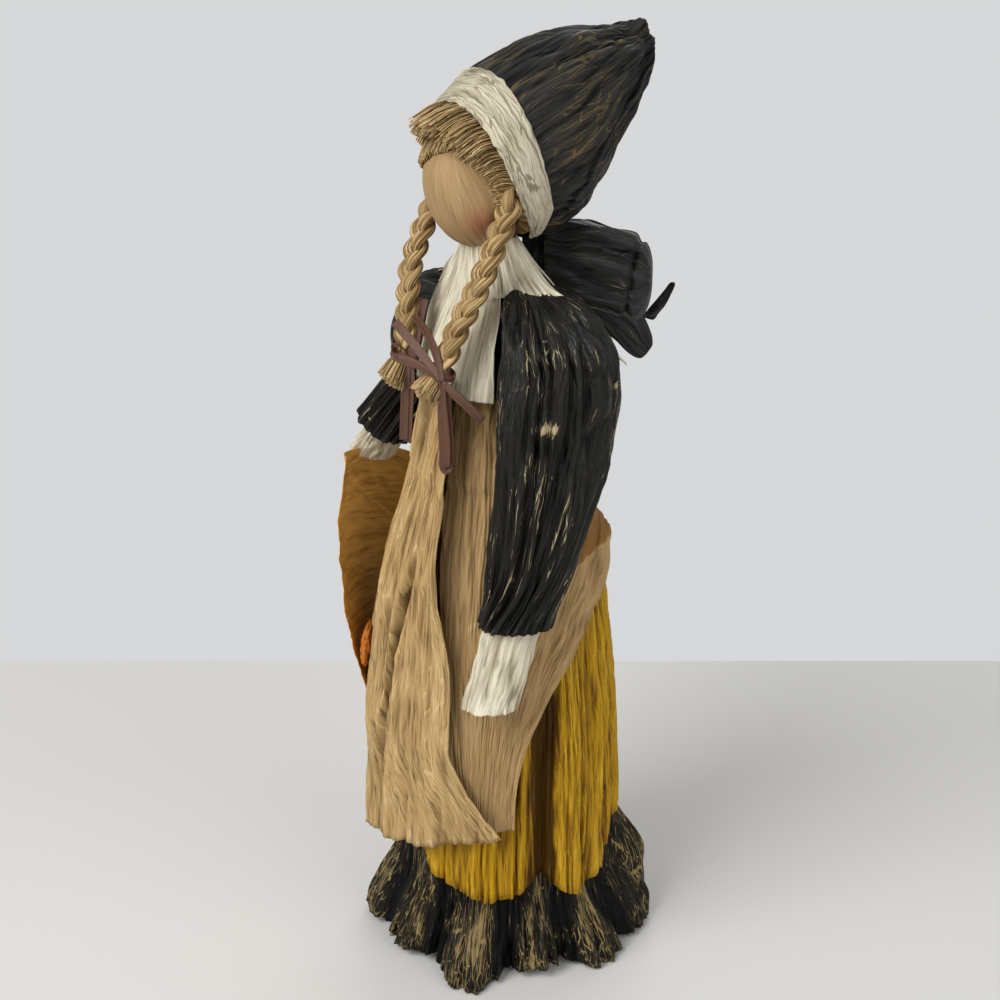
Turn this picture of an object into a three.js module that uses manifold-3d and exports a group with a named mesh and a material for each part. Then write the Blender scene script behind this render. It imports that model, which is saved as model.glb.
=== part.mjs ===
// A paper twist doll: crinkled paper glued and tied round a foam cone, with plaited hair and wired arms.
// Millimetres, +Z up. The doll faces -Y, its left hand is on +X, and the origin is the centre of its foot.
import * as THREE from "three";
import { mergeVertices } from "three/addons/utils/BufferGeometryUtils.js";
import Module from "manifold-3d";

const wasm = await Module();
wasm.setup();

// Driving sizes: stock and clearances
const GAP = 0.3; // between pieces that are glued together or rest on each other
const PAPER = 1.2; // crinkled paper, from crest to crest
const WIRE_RADIUS = 1.6; // paper-covered craft wire
const WIRE_EASE = 0.9; // room round a wire in its hole

// Driving sizes: foam cone and neck
const CONE_HEIGHT = 305;
const CONE_FOOT_RADIUS = 45;
const CONE_TOP_RADIUS = 10;
const NECK_HOLE_DEPTH = 43;
const NECK_REACH = 42; // from the cone's top to the middle of the head
const HEAD_LEAN = 22; // degrees forward
const HEAD_RADIUS = 18.5;
const HEAD_HALF_HEIGHT = 23;
const NECK_RADIUS = 5.5;
const NECK_GATHER = 8; // paper below the chin
const TIE_RADIUS = 0.7;

// Driving sizes: petticoat and skirt
const PETTICOAT_DROP = 60; // from the cone's top down to the petticoat's gathered edge
const PETTICOAT_EASE = 11; // how far the petticoat stands off the cone half way down
const PETTICOAT_HEM = 0.6;
const RUFFLE_FLARE = 12.5;
const RUFFLE_DEPTH = 7;
const RUFFLE_LOBES = 9;
const SKIRT_DROP = 47;
const SKIRT_HEM = 40;
const SKIRT_EASE = 2.5;
const SKIRT_PLEATS = 16;
const SKIRT_PLEAT_TOP = 0.5;
const SKIRT_PLEAT_HEM = 3.1;
const HEM_SWAY = 3; // how much a hem rises and falls

// Driving sizes: bodice and collar
const BODICE_DROP = 78;
const BODICE_HALF_WIDTH = 28;
const BODICE_HALF_DEPTH = 23;
const CHEST_DROP = 35;
const SHOULDER_DROP = 10;
const SHOULDER_HALF_WIDTH = 25;
const SHOULDER_HALF_DEPTH = 16;
const NECKLINE_RADIUS = 11.5;
const NECKLINE_RISE = 5;
const BIB_HALF_WIDTH = 27;
const BIB_LENGTH = 46;
const BIB_FORWARD = 36; // how far the middle of the bib's lower edge stands in front of the axis
const BIB_SIDE = 24; // the same at its corners
const FLAP_REACH = 41;
const COLLAR_BACK_LENGTH = 38;
const COLLAR_CURL = 11;

// Driving sizes: apron
const APRON_DROP = 42;
const APRON_HEM = 70;
const APRON_FOLDS = 15; // folds that a full turn of the front panel would have
const APRON_FOLD_TOP = 0.7;
const APRON_FOLD_HEM = 1.9;
const WRAP_FOLD = 0.7;
const FRONT_RIGHT = -70; // the panels' edges, in degrees from the doll's front towards its left
const FRONT_LEFT_HEM = 57;
const FRONT_LEFT_SIDE = 32;
const FRONT_LEFT_TOP = 24;
const WRAP_FRONT_HEM = 34;
const WRAP_BACK_HEM = 59;
const WRAP_FRONT_TOP = 6;
const WRAP_BACK_TOP = 144;
const WRAP_SLANT = 66; // how far the wrap's upper edge falls towards the back
const LIFT_FRONT = -34;
const LIFT_BACK = -86;
const LIFT_BULGE = 20; // how far the lifted corner stands off the apron
const LIFT_FOOT = 115;
const LIFT_LIP = 224;

// Driving sizes: bonnet and hair
const BONNET_HALF_WIDTH = 29;
const SIDE_WRAP = 6; // how far the mouth comes forward beside the cheeks
const BAND_END = 145; // degrees from the top of the head
const HAIR_EASE = 0.8; // between the face paper and the hair
const FRINGE_END = 95;
const FRINGE_LENGTH = 20;
const FRINGE_LOCKS = 22;
const BRAID_PERIOD = 38;
const BRAID_SWING = 3.5;
const BRAID_LIFT = 2.6;
const STRAND_RADIUS = 1.65;
const TUFT_LENGTH = 14;
const RIBBON_WIDTH = 5;
const RIBBON_THICK = 0.9;

// Driving sizes: nape bow
const KNOT_HALF_WIDTH = 7;
const KNOT_HALF_DEPTH = 6;
const KNOT_HALF_HEIGHT = 8;
const LOOP_REACH_SIDE = 29;
const LOOP_REACH_BACK = 25;
const LOOP_HALF_THICK = 7.5;
const LOOP_HALF_HEIGHT = 20;

// Driving sizes: arms, with bends as [degrees, reach of the section's middle, half width]
const ARMPIT_DROP = 33;
const SHOULDER_FAN = [[0, 15, 13], [30, 16.5, 17], [60, 17, 20.5], [90, 16.5, 22.5]];
const ELBOW_FAN = [[0, 18, 13], [35, 15.5, 12], [66, 13, 11]];
const LEFT_FALL = [ // out, back and down from the armpit, then half thickness and half width
  [22.5, -7, 20, 14.5, 24.5], [24.6, -12, 39, 13.5, 24], [25.1, -21, 70, 11.5, 19.5],
];
const WRIST_HALF_THICK = 9.5;
const LEFT_WRIST_HALF_WIDTH = 13.5;
const RIGHT_WRIST_HALF_WIDTH = 11;
const CUFF_HALF_WIDTH = 11.8;
const CUFF_HALF_THICK = 6;
const HAND_SHOWS = 3;

// Finishes
const BLACK = finish(0x17150f, 0.55);
const IVORY = finish(0xd9d3bf, 0.75);
const KRAFT = finish(0xb8945e, 0.8);
const MUSTARD = finish(0xc7991f, 0.75);
const STRAW = finish(0xc7a86b, 0.8);
const SKIN = finish(0xb39466, 0.85);
const RIBBON = finish(0x663d2e, 0.45);
const FOAM = finish(0xe8e6e0, 0.9);
const WIRE = finish(0x6b5a48, 0.6);
const ORANGE = finish(0xc9752f, 0.8);

function finish(color, roughness) {
  return new THREE.MeshStandardMaterial({ color, roughness, metalness: 0 });
}

// General shapes
const { sin, cos, atan2, hypot, sqrt, max, round, PI } = Math;
const mix = THREE.MathUtils.lerp;
const rad = THREE.MathUtils.degToRad;
const smooth = (from, to, x) => THREE.MathUtils.smoothstep(x, from, to);
const at = (x, y, z) => new THREE.Vector3(x, y, z);
const through = (points) => new THREE.CatmullRomCurve3(points, false, "catmullrom", 0.5);

// A point at an angle round the doll, from its front towards its left hand.
function around(angle, radius, z) {
  return at(radius * sin(angle), -radius * cos(angle), z);
}

// Moves each vertex of a closed geometry to place(x, y, z),
// joins shared vertices and turns the faces outwards.
function shape(geometry, place) {
  const loose = geometry.index ? geometry.toNonIndexed() : geometry.clone();
  const source = loose.getAttribute("position");
  const moved = new THREE.Float32BufferAttribute(new Float32Array(source.count * 3), 3);
  const grid = 1e4;
  for (let i = 0; i < source.count; i++) {
    const p = place(source.getX(i), source.getY(i), source.getZ(i));
    moved.setXYZ(i, round(p.x * grid) / grid, round(p.y * grid) / grid, round(p.z * grid) / grid);
  }
  const bare = new THREE.BufferGeometry().setAttribute("position", moved);
  const merged = mergeVertices(bare, 0.5 / grid);
  const corners = [];
  let volume = 0;
  const [a, b, c] = [at(0, 0, 0), at(0, 0, 0), at(0, 0, 0)];
  const points = merged.getAttribute("position");
  for (let i = 0; i < merged.index.count; i += 3) {
    const [p, q, r] = [0, 1, 2].map((k) => merged.index.getX(i + k));
    if (p === q || q === r || r === p) continue;
    corners.push(p, q, r);
    a.fromBufferAttribute(points, p);
    b.fromBufferAttribute(points, q);
    c.fromBufferAttribute(points, r);
    volume += a.dot(b.cross(c));
  }
  if (volume < 0) corners.reverse();
  merged.setIndex(corners);
  return merged;
}

// A sheet closed on itself: place(u, v, w), with u once round, v along it and w from inside to outside.
function tubeSheet(columns, rows, place) {
  const profile = [];
  for (let j = 0; j <= rows; j++) profile.push(new THREE.Vector2(2, j / rows));
  for (let j = rows; j >= 0; j--) profile.push(new THREE.Vector2(1, j / rows));
  profile.push(profile[0].clone());
  const lathe = new THREE.LatheGeometry(profile, columns);
  return shape(lathe, (x, y, z) => place(atan2(x, z) / (2 * PI), y, round(hypot(x, z)) - 1));
}

// A cut sheet: place(u, v, w), with u across, v along and w through its thickness.
function cutSheet(columns, rows, place) {
  const box = new THREE.BoxGeometry(1, 1, 1, columns, rows, 1);
  return shape(box, (x, y, z) => place(x + 0.5, y + 0.5, z + 0.5));
}

// A closed form between two poles: place(u, v), with u once round and v from pole to pole.
function pod(columns, rows, place) {
  return shape(new THREE.SphereGeometry(1, columns, rows), (x, y, z) => {
    const row = round((Math.acos(THREE.MathUtils.clamp(y, -1, 1)) / PI) * rows);
    const atPole = row === 0 || row === rows;
    return place(atPole ? 0 : atan2(z, -x) / (2 * PI), row / rows);
  });
}

// A turned form round +Z from a profile of [radius, height] points.
function turned(points, columns) {
  const profile = points.map(([radius, height]) => new THREE.Vector2(radius, height));
  return shape(new THREE.LatheGeometry(profile, columns), (x, y, z) => at(x, -z, y));
}

// A round wire or strand, or a flat strip, along a curve.
function along(curve, steps, section) {
  const geometry = new THREE.ExtrudeGeometry(section, { steps, bevelEnabled: false, extrudePath: curve });
  return shape(geometry, at);
}

function roundSection(radius, sides) {
  const points = [];
  for (let i = 0; i < sides; i++) {
    const turn = (2 * PI * i) / sides;
    points.push(new THREE.Vector2(radius * cos(turn), radius * sin(turn)));
  }
  return new THREE.Shape(points);
}

function flatSection(thick, width) {
  const [t, w] = [thick / 2, width / 2];
  return new THREE.Shape([[-t, -w], [t, -w], [t, w], [-t, w]].map(([x, y]) => new THREE.Vector2(x, y)));
}

function solidOf(geometry) {
  const vertProperties = new Float32Array(geometry.getAttribute("position").array);
  const triVerts = new Uint32Array(geometry.index.array);
  return new wasm.Manifold(new wasm.Mesh({ numProp: 3, vertProperties, triVerts }));
}

function joined(geometries) {
  const mesh = geometries.map(solidOf).reduce((all, next) => all.add(next)).getMesh();
  const geometry = new THREE.BufferGeometry();
  geometry.setAttribute("position", new THREE.Float32BufferAttribute(mesh.vertProperties, 3));
  geometry.setIndex(Array.from(mesh.triVerts));
  return geometry;
}

const doll = new THREE.Group();
function add(name, geometry, material) {
  const mesh = new THREE.Mesh(geometry, material);
  mesh.name = name;
  mesh.geometry.computeVertexNormals();
  doll.add(mesh);
}

// Foam cone, with a hole for the neck wire
const wireHole = WIRE_RADIUS + WIRE_EASE;
const holeFloor = CONE_HEIGHT - NECK_HOLE_DEPTH;
function coneRadius(z) {
  return mix(CONE_FOOT_RADIUS, CONE_TOP_RADIUS, z / CONE_HEIGHT);
}
const coneProfile = [
  [0, 0], [CONE_FOOT_RADIUS, 0], [CONE_TOP_RADIUS, CONE_HEIGHT],
  [wireHole, CONE_HEIGHT], [wireHole, holeFloor], [0, holeFloor],
];
add("foam_cone", turned(coneProfile, 40), FOAM);

// Neck wire, straight in the cone and leaning forward into the head
const lean = rad(HEAD_LEAN);
const neckFoot = at(0, 0, CONE_HEIGHT);
const neckWay = at(0, -sin(lean), cos(lean));
const head = neckFoot.clone().addScaledVector(neckWay, NECK_REACH);
const neckPath = through([
  at(0, 0, holeFloor + GAP),
  at(0, 0, CONE_HEIGHT - WIRE_RADIUS),
  neckFoot.clone().addScaledVector(neckWay, NECK_GATHER),
  head,
]);
add("neck_wire", along(neckPath, 12, roundSection(WIRE_RADIUS, 6)), WIRE);

// Head ball and the paper drawn over it, turned round the leaning neck
function eggProfile(radius, halfHeight, hole, steps) {
  const start = Math.asin(hole / radius);
  const points = [];
  for (let i = 0; i <= steps; i++) {
    const turn = mix(start, PI, i / steps);
    points.push([i === steps ? 0 : radius * sin(turn), -halfHeight * cos(turn)]);
  }
  return points;
}
function onHead(geometry) {
  const mount = new THREE.Matrix4().makeRotationX(lean).setPosition(head);
  return geometry.applyMatrix4(mount);
}
const underWrap = PAPER + 3 * GAP;
const ball = eggProfile(HEAD_RADIUS - underWrap, HEAD_HALF_HEIGHT - underWrap, wireHole, 7);
const ballProfile = [[0, GAP + WIRE_EASE], [wireHole, GAP + WIRE_EASE], ...ball];
add("head_ball", onHead(turned(ballProfile, 16)), FOAM);
const wrapFoot = -HEAD_HALF_HEIGHT - NECK_GATHER;
const neckInside = NECK_RADIUS - PAPER;
const wrapOutside = eggProfile(HEAD_RADIUS, HEAD_HALF_HEIGHT, NECK_RADIUS, 9);
const wrapInside = eggProfile(HEAD_RADIUS - PAPER, HEAD_HALF_HEIGHT - PAPER, neckInside, 8);
const wrapProfile = [
  ...wrapInside.reverse(), [neckInside, wrapFoot], [NECK_RADIUS, wrapFoot], ...wrapOutside,
];
add("face_wrap", onHead(turned(wrapProfile, 18)), SKIN);
const tieRing = new THREE.TorusGeometry(NECK_RADIUS + GAP + TIE_RADIUS, TIE_RADIUS, 4, 16);
tieRing.translate(0, 0, wrapFoot + NECK_GATHER / 2);
add("neck_tie", onHead(shape(tieRing, at)), WIRE);

// Petticoat, gathered on the cone and flaring into a ruffle that just clears the floor
const petticoatTop = CONE_HEIGHT - PETTICOAT_DROP;
const ruffleTop = SKIRT_HEM - HEM_SWAY;
const ruffle = (z) => 1 - smooth(0, ruffleTop, z);
function bell(z) {
  return max(0, sin(PI * max(0, z / petticoatTop) ** 1.4)) ** 0.6;
}
function petticoatMiddle(z) {
  return coneRadius(z) + GAP + PAPER / 2 + PETTICOAT_EASE * bell(z) + RUFFLE_FLARE * ruffle(z);
}
function petticoatCrest(z) {
  return petticoatMiddle(z) + PAPER / 2 + RUFFLE_DEPTH * ruffle(z);
}
const petticoatRows = [PETTICOAT_HEM, 0.25 * ruffleTop, 0.6 * ruffleTop, ruffleTop];
for (const share of [0.25, 0.5, 0.75, 1]) petticoatRows.push(mix(ruffleTop, petticoatTop, share));
function petticoatAt(u, v, w) {
  const angle = 2 * PI * u;
  const z = petticoatRows[round(v * (petticoatRows.length - 1))];
  const lobe = RUFFLE_DEPTH * ruffle(z) * cos(RUFFLE_LOBES * angle + 0.9 * sin(2 * angle));
  return around(angle, petticoatMiddle(z) + lobe + PAPER * (w - 0.5), z);
}
add("petticoat", tubeSheet(5 * RUFFLE_LOBES, petticoatRows.length - 1, petticoatAt), BLACK);

// Overskirt, pleated from its gathered waist to a swaying hem
const skirtTop = CONE_HEIGHT - SKIRT_DROP;
function underSkirt(z) {
  return z > petticoatTop ? coneRadius(z) : petticoatCrest(z);
}
function skirtShare(z) {
  return max(0, (skirtTop - z) / (skirtTop - SKIRT_HEM));
}
const skirtPleat = (z) => mix(SKIRT_PLEAT_TOP, SKIRT_PLEAT_HEM, skirtShare(z));
const skirtEase = (z) => SKIRT_EASE * sin(PI * THREE.MathUtils.clamp(skirtShare(z), 0, 1) ** 0.6);
function skirtMiddle(z) {
  return underSkirt(z) + GAP + PAPER / 2 + skirtEase(z) + skirtPleat(z);
}
const skirtCrest = (z) => skirtMiddle(z) + skirtPleat(z) + PAPER / 2;
function skirtAt(u, v, w) {
  const angle = 2 * PI * u;
  const z = mix(SKIRT_HEM + HEM_SWAY * sin(5 * angle) * (1 - v), skirtTop, v);
  const pleat = skirtPleat(z) * cos(SKIRT_PLEATS * angle + 0.8 * sin(2 * angle));
  return around(angle, skirtMiddle(z) + pleat + PAPER * (w - 0.5), z);
}
add("skirt", tubeSheet(4 * SKIRT_PLEATS, 6, skirtAt), MUSTARD);
const waistRing = skirtCrest(skirtTop - PAPER) + GAP + TIE_RADIUS;
const waistTie = new THREE.TorusGeometry(waistRing, TIE_RADIUS, 4, 24);
waistTie.translate(0, 0, skirtTop - TIE_RADIUS);
add("waist_tie", shape(waistTie, at), WIRE);

// Bodice: rings of half width, half depth and height, from its hem up to the neckline
const bodiceHem = CONE_HEIGHT - BODICE_DROP;
const neckline = CONE_HEIGHT + NECKLINE_RISE;
const bodiceHemRadius = skirtCrest(bodiceHem) + GAP + PAPER / 2;
const bodiceRings = through([
  at(bodiceHemRadius, bodiceHemRadius, bodiceHem),
  at(BODICE_HALF_WIDTH, BODICE_HALF_DEPTH, CONE_HEIGHT - CHEST_DROP),
  at(SHOULDER_HALF_WIDTH, SHOULDER_HALF_DEPTH, CONE_HEIGHT - SHOULDER_DROP),
  at(NECKLINE_RADIUS, NECKLINE_RADIUS, neckline),
]);
function ringRadius(ring, angle) {
  return (ring.x * ring.y) / hypot(ring.y * sin(angle), ring.x * cos(angle));
}
function bodiceAt(u, v, w) {
  const angle = 2 * PI * u;
  const ring = bodiceRings.getPoint(v);
  return around(angle, ringRadius(ring, angle) + PAPER * (w - 0.5), ring.z);
}
add("bodice", tubeSheet(24, 7, bodiceAt), BLACK);

// The bodice's ring at a height, found by halving
function bodiceRing(z) {
  let [low, high] = [0, 1];
  for (let i = 0; i < 30; i++) {
    const middle = (low + high) / 2;
    if (bodiceRings.getPoint(middle).z < z) low = middle;
    else high = middle;
  }
  return bodiceRings.getPoint(low);
}
function bodiceOutside(angle, z) {
  return ringRadius(bodiceRing(z), angle) + PAPER / 2;
}

// Shoulder wire across the top of the cone, behind the neck wire
const wireBack = 2 * WIRE_RADIUS + WIRE_EASE + GAP;
const wireTop = CONE_HEIGHT + GAP + WIRE_RADIUS;
const wireEnd = SHOULDER_HALF_WIDTH - PAPER / 2 - GAP - 2 * WIRE_RADIUS;
const shoulderHalf = (side) => [
  at(side * wireEnd, 0, CONE_HEIGHT - SHOULDER_DROP - WIRE_RADIUS),
  at(side * CONE_TOP_RADIUS, wireBack, wireTop),
];
const shoulderPath = through([
  ...shoulderHalf(-1), at(0, wireBack, wireTop), ...shoulderHalf(1).reverse(),
]);
add("shoulder_wire", along(shoulderPath, 14, roundSection(WIRE_RADIUS, 6)), WIRE);

// Apron: what lies under it, the wrap round the left side, and the folded front over both
const apronTop = CONE_HEIGHT - APRON_DROP;
const apronEase = 1.6;
function underApron(angle, z) {
  const skirt = skirtCrest(z);
  const bodice = z > bodiceHem ? bodiceOutside(angle, z) : 0;
  const hemCover = (bodiceHemRadius + PAPER / 2) * (1 - smooth(0, BODICE_DROP / 2, Math.abs(z - bodiceHem)));
  return max(skirt, bodice, hemCover) + apronEase;
}
const wrapFold = (angle) => WRAP_FOLD * (1 + cos(1.7 * APRON_FOLDS * angle));
function wrapAt(u, v, w) {
  const hemTurn = mix(WRAP_FRONT_HEM, WRAP_BACK_HEM, u);
  const degrees = mix(hemTurn, mix(WRAP_FRONT_TOP, WRAP_BACK_TOP, u), v ** mix(1, 2.4, u));
  const z = mix(mix(APRON_HEM - 4, APRON_HEM + 3, u), apronTop - WRAP_SLANT * u * u, v);
  const angle = rad(degrees);
  return around(angle, underApron(angle, z) + GAP + wrapFold(angle) + PAPER * w, z);
}
add("apron_left_wrap", cutSheet(14, 10, wrapAt), KRAFT);
function frontFloor(angle, z) {
  return underApron(angle, z) + 3 * GAP + 2 * WRAP_FOLD + PAPER;
}
const frontDepth = (z) => mix(APRON_FOLD_HEM, APRON_FOLD_TOP, (z - APRON_HEM) / (apronTop - APRON_HEM));
function frontOutside(angle, z) {
  return frontFloor(angle, z) + 2 * frontDepth(z) + PAPER;
}
function frontAt(u, v, w) {
  const sway = HEM_SWAY * sin(9 * u) * (1 - v);
  const z = mix(APRON_HEM - HEM_SWAY + sway, apronTop, v);
  const sideEdge = mix(FRONT_LEFT_HEM, FRONT_LEFT_SIDE, smooth(APRON_HEM - 4, APRON_HEM + 48, z));
  const leftEdge = mix(sideEdge, FRONT_LEFT_TOP, smooth(apronTop - 120, apronTop - 60, z));
  const angle = rad(mix(FRONT_RIGHT, leftEdge, u));
  const fold = frontDepth(z) * (1 + cos(APRON_FOLDS * angle + 0.5 * sin(4 * angle)));
  return around(angle, frontFloor(angle, z) + fold + PAPER * w, z);
}
add("apron_front", cutSheet(24, 10, frontAt), KRAFT);

// The lifted right corner: a pouch that stands off the apron's front, and the orange paper low in it
function liftBulge(u, v) {
  const rise = v < 0.75 ? sin((PI / 2) * (v / 0.75)) : mix(1, 0.9, (v - 0.75) / 0.25);
  return LIFT_BULGE * rise * (1 - 0.75 * u ** 1.5);
}
function liftedAt(u, v, w) {
  const angle = rad(mix(LIFT_FRONT, LIFT_BACK, u));
  const lip = mix(LIFT_LIP, LIFT_LIP - 18, u * u);
  const z = mix(LIFT_FOOT, lip, v);
  return around(angle, frontOutside(angle, z) + GAP + liftBulge(u, v) + PAPER * w, z);
}
add("apron_lifted", cutSheet(10, 8, liftedAt), KRAFT);
const fillAngle = rad(-52);
const fillLow = mix(LIFT_FOOT, LIFT_LIP, 0.24);
const fillHalf = 11;
function fillingAt(u, v) {
  const z = fillLow + fillHalf * (1 - cos(PI * v));
  const girth = sin(PI * v);
  const angle = fillAngle + rad(9) * girth * cos(2 * PI * u);
  const depth = 2.6 * (1 + girth * sin(2 * PI * u) * 0.96);
  return around(angle, frontOutside(angle, z) + GAP + depth, z);
}
add("pouch_filling", pod(10, 6, fillingAt), ORANGE);

// Bonnet: stations from its mouth to its peak, as top points with half widths and as bottom points,
// measured from a seat a little behind and below the middle of the head
const bonnetSeat = head.clone().add(at(0, 1.2, -3));
const bonnetTop = through([
  at(BONNET_HALF_WIDTH, -9.5, 37), at(30, 8.5, 52), at(27.5, 32.5, 61),
  at(20.5, 54.5, 64), at(12, 73.5, 64.5), at(0, 86, 58),
]);
const bonnetBottom = through([
  at(0, 18.5, -19), at(0, 29.5, -17), at(0, 41.5, -10),
  at(0, 56.5, 7), at(0, 72, 31), at(0, 86, 58),
]);
function bonnetLoop(k, u, inset) {
  const top = bonnetTop.getPoint(k);
  const bottom = bonnetBottom.getPoint(k);
  const halfWidth = top.x;
  top.x = 0;
  const middle = top.clone().add(bottom).multiplyScalar(0.5);
  const up = top.sub(middle);
  const shrink = max(0, 1 - inset / max(up.length(), inset, 1e-6));
  const turn = 2 * PI * u;
  const side = max(0, halfWidth - inset) * sin(turn);
  const wrap = SIDE_WRAP * sin(turn) ** 2 * (1 - smooth(0, 0.4, k));
  return middle.addScaledVector(up, shrink * cos(turn)).add(at(side, -wrap, 0)).add(bonnetSeat);
}
const crownMouth = 0.03; // share of the bonnet's depth that the band stands in front of the crown
const pocketBack = 0.25;
const hairBack = pocketBack - 0.02;
const crownWall = 1.5 * PAPER;
const crownRows = [
  [pocketBack, 1e3], [pocketBack, crownWall], [hairBack, crownWall], [0.11, crownWall],
  [crownMouth, crownWall], [crownMouth, 0], [0.11, 0], [0.2, 0], [0.32, 0], [0.44, 0],
  [0.56, 0], [0.68, 0], [0.8, 0], [0.92, 0], [1, 1e3],
];
const crownAt = (u, v) => {
  const [k, inset] = crownRows[round(v * (crownRows.length - 1))];
  return bonnetLoop(k, u, inset);
};
add("bonnet_crown", pod(24, crownRows.length - 1, crownAt), BLACK);
const bandEnd = BAND_END / 360;
const bandDepth = 0.16;
function bandAt(u, v, w) {
  return bonnetLoop(mix(0, bandDepth, v), mix(-bandEnd, bandEnd, u), -2 * GAP - PAPER * w);
}
add("bonnet_band", cutSheet(24, 3, bandAt), IVORY);

// Hair: a cap between the head and the bonnet's mouth, and the cut fringe under the band
function hairInside(u, degrees) {
  const underChin = ((1 - cos(2 * PI * u)) / 2) ** 2;
  const turn = rad(degrees * (1 - 0.24 * underChin));
  const radius = HEAD_RADIUS + HAIR_EASE;
  const p = at(radius * sin(turn) * sin(2 * PI * u), radius * cos(turn), 0);
  p.z = (HEAD_HALF_HEIGHT + HAIR_EASE) * sin(turn) * cos(2 * PI * u);
  return p.applyMatrix4(new THREE.Matrix4().makeRotationX(lean)).add(head);
}
const hairEdge = crownWall + 2 * GAP;
const hairRows = [
  ...[0, 20, 40, 60, 80].map((degrees) => (u) => hairInside(u, degrees)),
  (u) => bonnetLoop(crownMouth, u, hairEdge), (u) => bonnetLoop(0.11, u, hairEdge),
  (u) => bonnetLoop(hairBack, u, hairEdge), (u) => bonnetLoop(hairBack, u, 1e3),
];
const hairAt = (u, v) => hairRows[round(v * (hairRows.length - 1))](u);
add("hair_cap", pod(24, hairRows.length - 1, hairAt), STRAW);
const fringeEnd = FRINGE_END / 360;
function fringeAt(u, v, w) {
  const column = round(u * 2 * FRINGE_LOCKS);
  const lock = column % 2 ? 0.82 + 0.18 * sin(5.3 * column) : 0.5;
  const turn = mix(-fringeEnd, fringeEnd, u);
  const thick = mix(1.8, 0.8, v);
  const reach = v * lock * FRINGE_LENGTH;
  const beside = sin(2 * PI * turn) ** 2;
  const inset = 1 + mix(0.35, 0.6, beside) * reach + thick * (0.5 - w);
  return bonnetLoop(0, turn, inset).add(at(0, -mix(0.93, 0.55, beside) * reach, 0));
}
add("hair_fringe", cutSheet(2 * FRINGE_LOCKS, 2, fringeAt), STRAW);

// Plaits: three strands cross in turn along a hanging path, tied with a ribbon above a cut tuft
class Strand extends THREE.Curve {
  constructor(path, phase) {
    super();
    this.path = path;
    this.phase = phase;
    this.turns = (2 * PI * path.getLength()) / BRAID_PERIOD;
  }
  getPoint(t) {
    const turn = this.turns * t + this.phase;
    const way = this.path.getTangentAt(t);
    const forward = at(1, 0, 0).cross(way).normalize();
    const across = way.cross(forward);
    const p = this.path.getPointAt(t);
    p.addScaledVector(across, BRAID_SWING * sin(turn));
    return p.addScaledVector(forward, BRAID_LIFT * sin(2 * turn));
  }
}
const braidPaths = {
  left: [at(23.6, 2.5, 2.5), at(24.8, -7, -11), at(23, -14, -29), at(20, -23.5, -48), at(18, -29.5, -65)],
  right: [
    at(-22.9, 2.7, 2.5), at(-23.6, -8.5, -13), at(-22, -17, -31), at(-16.5, -23, -50), at(-13.5, -26.5, -67),
  ],
};
const braidStrands = 3;
const knotHalf = RIBBON_WIDTH / 2;
const knotRoom = STRAND_RADIUS + 6 * GAP;
const knotInside = at(BRAID_SWING + knotRoom, BRAID_LIFT + knotRoom, 0);
function braidKnot(knotMiddle, way) {
  const forward = at(1, 0, 0).cross(way).normalize();
  return tubeSheet(12, 1, (u, v, w) => {
    const p = knotMiddle.clone().addScaledVector(way, mix(-knotHalf, knotHalf, v));
    p.x += (knotInside.x + RIBBON_THICK * w) * sin(2 * PI * u);
    return p.addScaledVector(forward, (knotInside.y + RIBBON_THICK * w) * cos(2 * PI * u));
  });
}
function ribbonStrip(start, points) {
  const curve = through([start, ...points.map((p) => p.add(start))]);
  return along(curve, 6, flatSection(RIBBON_THICK, RIBBON_WIDTH));
}
function tuft(top, way) {
  const forward = at(1, 0, 0).cross(way).normalize();
  const lobes = 9;
  const cylinder = new THREE.CylinderGeometry(1, 1, 1, 2 * lobes, 2);
  return shape(cylinder, (x, y, z) => {
    const share = 0.5 - y;
    const lobe = 1 + 0.16 * share * cos(lobes * atan2(x, z));
    const spread = mix(0.75, 1.05, share) * knotInside.y * lobe;
    const p = top.clone().addScaledVector(way, share * TUFT_LENGTH);
    p.x += x * spread;
    return p.addScaledVector(forward, -z * spread);
  });
}
const bowEnds = {
  left: [
    [at(0.6, -2, -8), at(1.2, -5, -20), at(1.2, -5, -34)],
    [at(0.8, 3, -4), at(1.2, 7, -9), at(1.2, 10.5, -14)],
    [at(-4, -7, 6), at(-12, -11, 16), at(-17, -10, 25)],
  ],
  right: [
    [at(6, -1, -8), at(7.5, -4, -19), at(7, -6, -31)],
    [at(5, 1, -3), at(9, 0, -10), at(10, -2, -20)],
    [at(4, -1, 8), at(7, -1, 17), at(9, 1, 26)],
  ],
};
for (const side of ["left", "right"]) {
  const path = through(braidPaths[side].map((p) => p.add(bonnetSeat)));
  for (let i = 0; i < braidStrands; i++) {
    const strand = new Strand(path, (2 * PI * i) / braidStrands);
    const name = side + "_braid_strand_" + (i + 1);
    add(name, along(strand, 32, roundSection(STRAND_RADIUS, 5)), STRAW);
  }
  const way = path.getTangentAt(1);
  const knotMiddle = path.getPointAt(1).addScaledVector(way, -knotHalf - GAP);
  const bowTurn = rad(55);
  const bowStart = knotMiddle.clone();
  bowStart.x += (knotInside.x + 0.9 * RIBBON_THICK) * sin(bowTurn);
  bowStart.y -= (knotInside.y + 0.9 * RIBBON_THICK) * cos(bowTurn);
  const strips = bowEnds[side].map((points) => ribbonStrip(bowStart.clone(), points));
  add(side + "_ribbon_bow", joined([braidKnot(knotMiddle, way), ...strips]), RIBBON);
  const tuftTop = path.getPointAt(1).addScaledVector(way, STRAND_RADIUS + GAP);
  const tuftWay = way.clone().add(at(0, -0.35, 0)).normalize();
  add(side + "_braid_tuft", tuft(tuftTop, tuftWay), STRAW);
}

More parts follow.
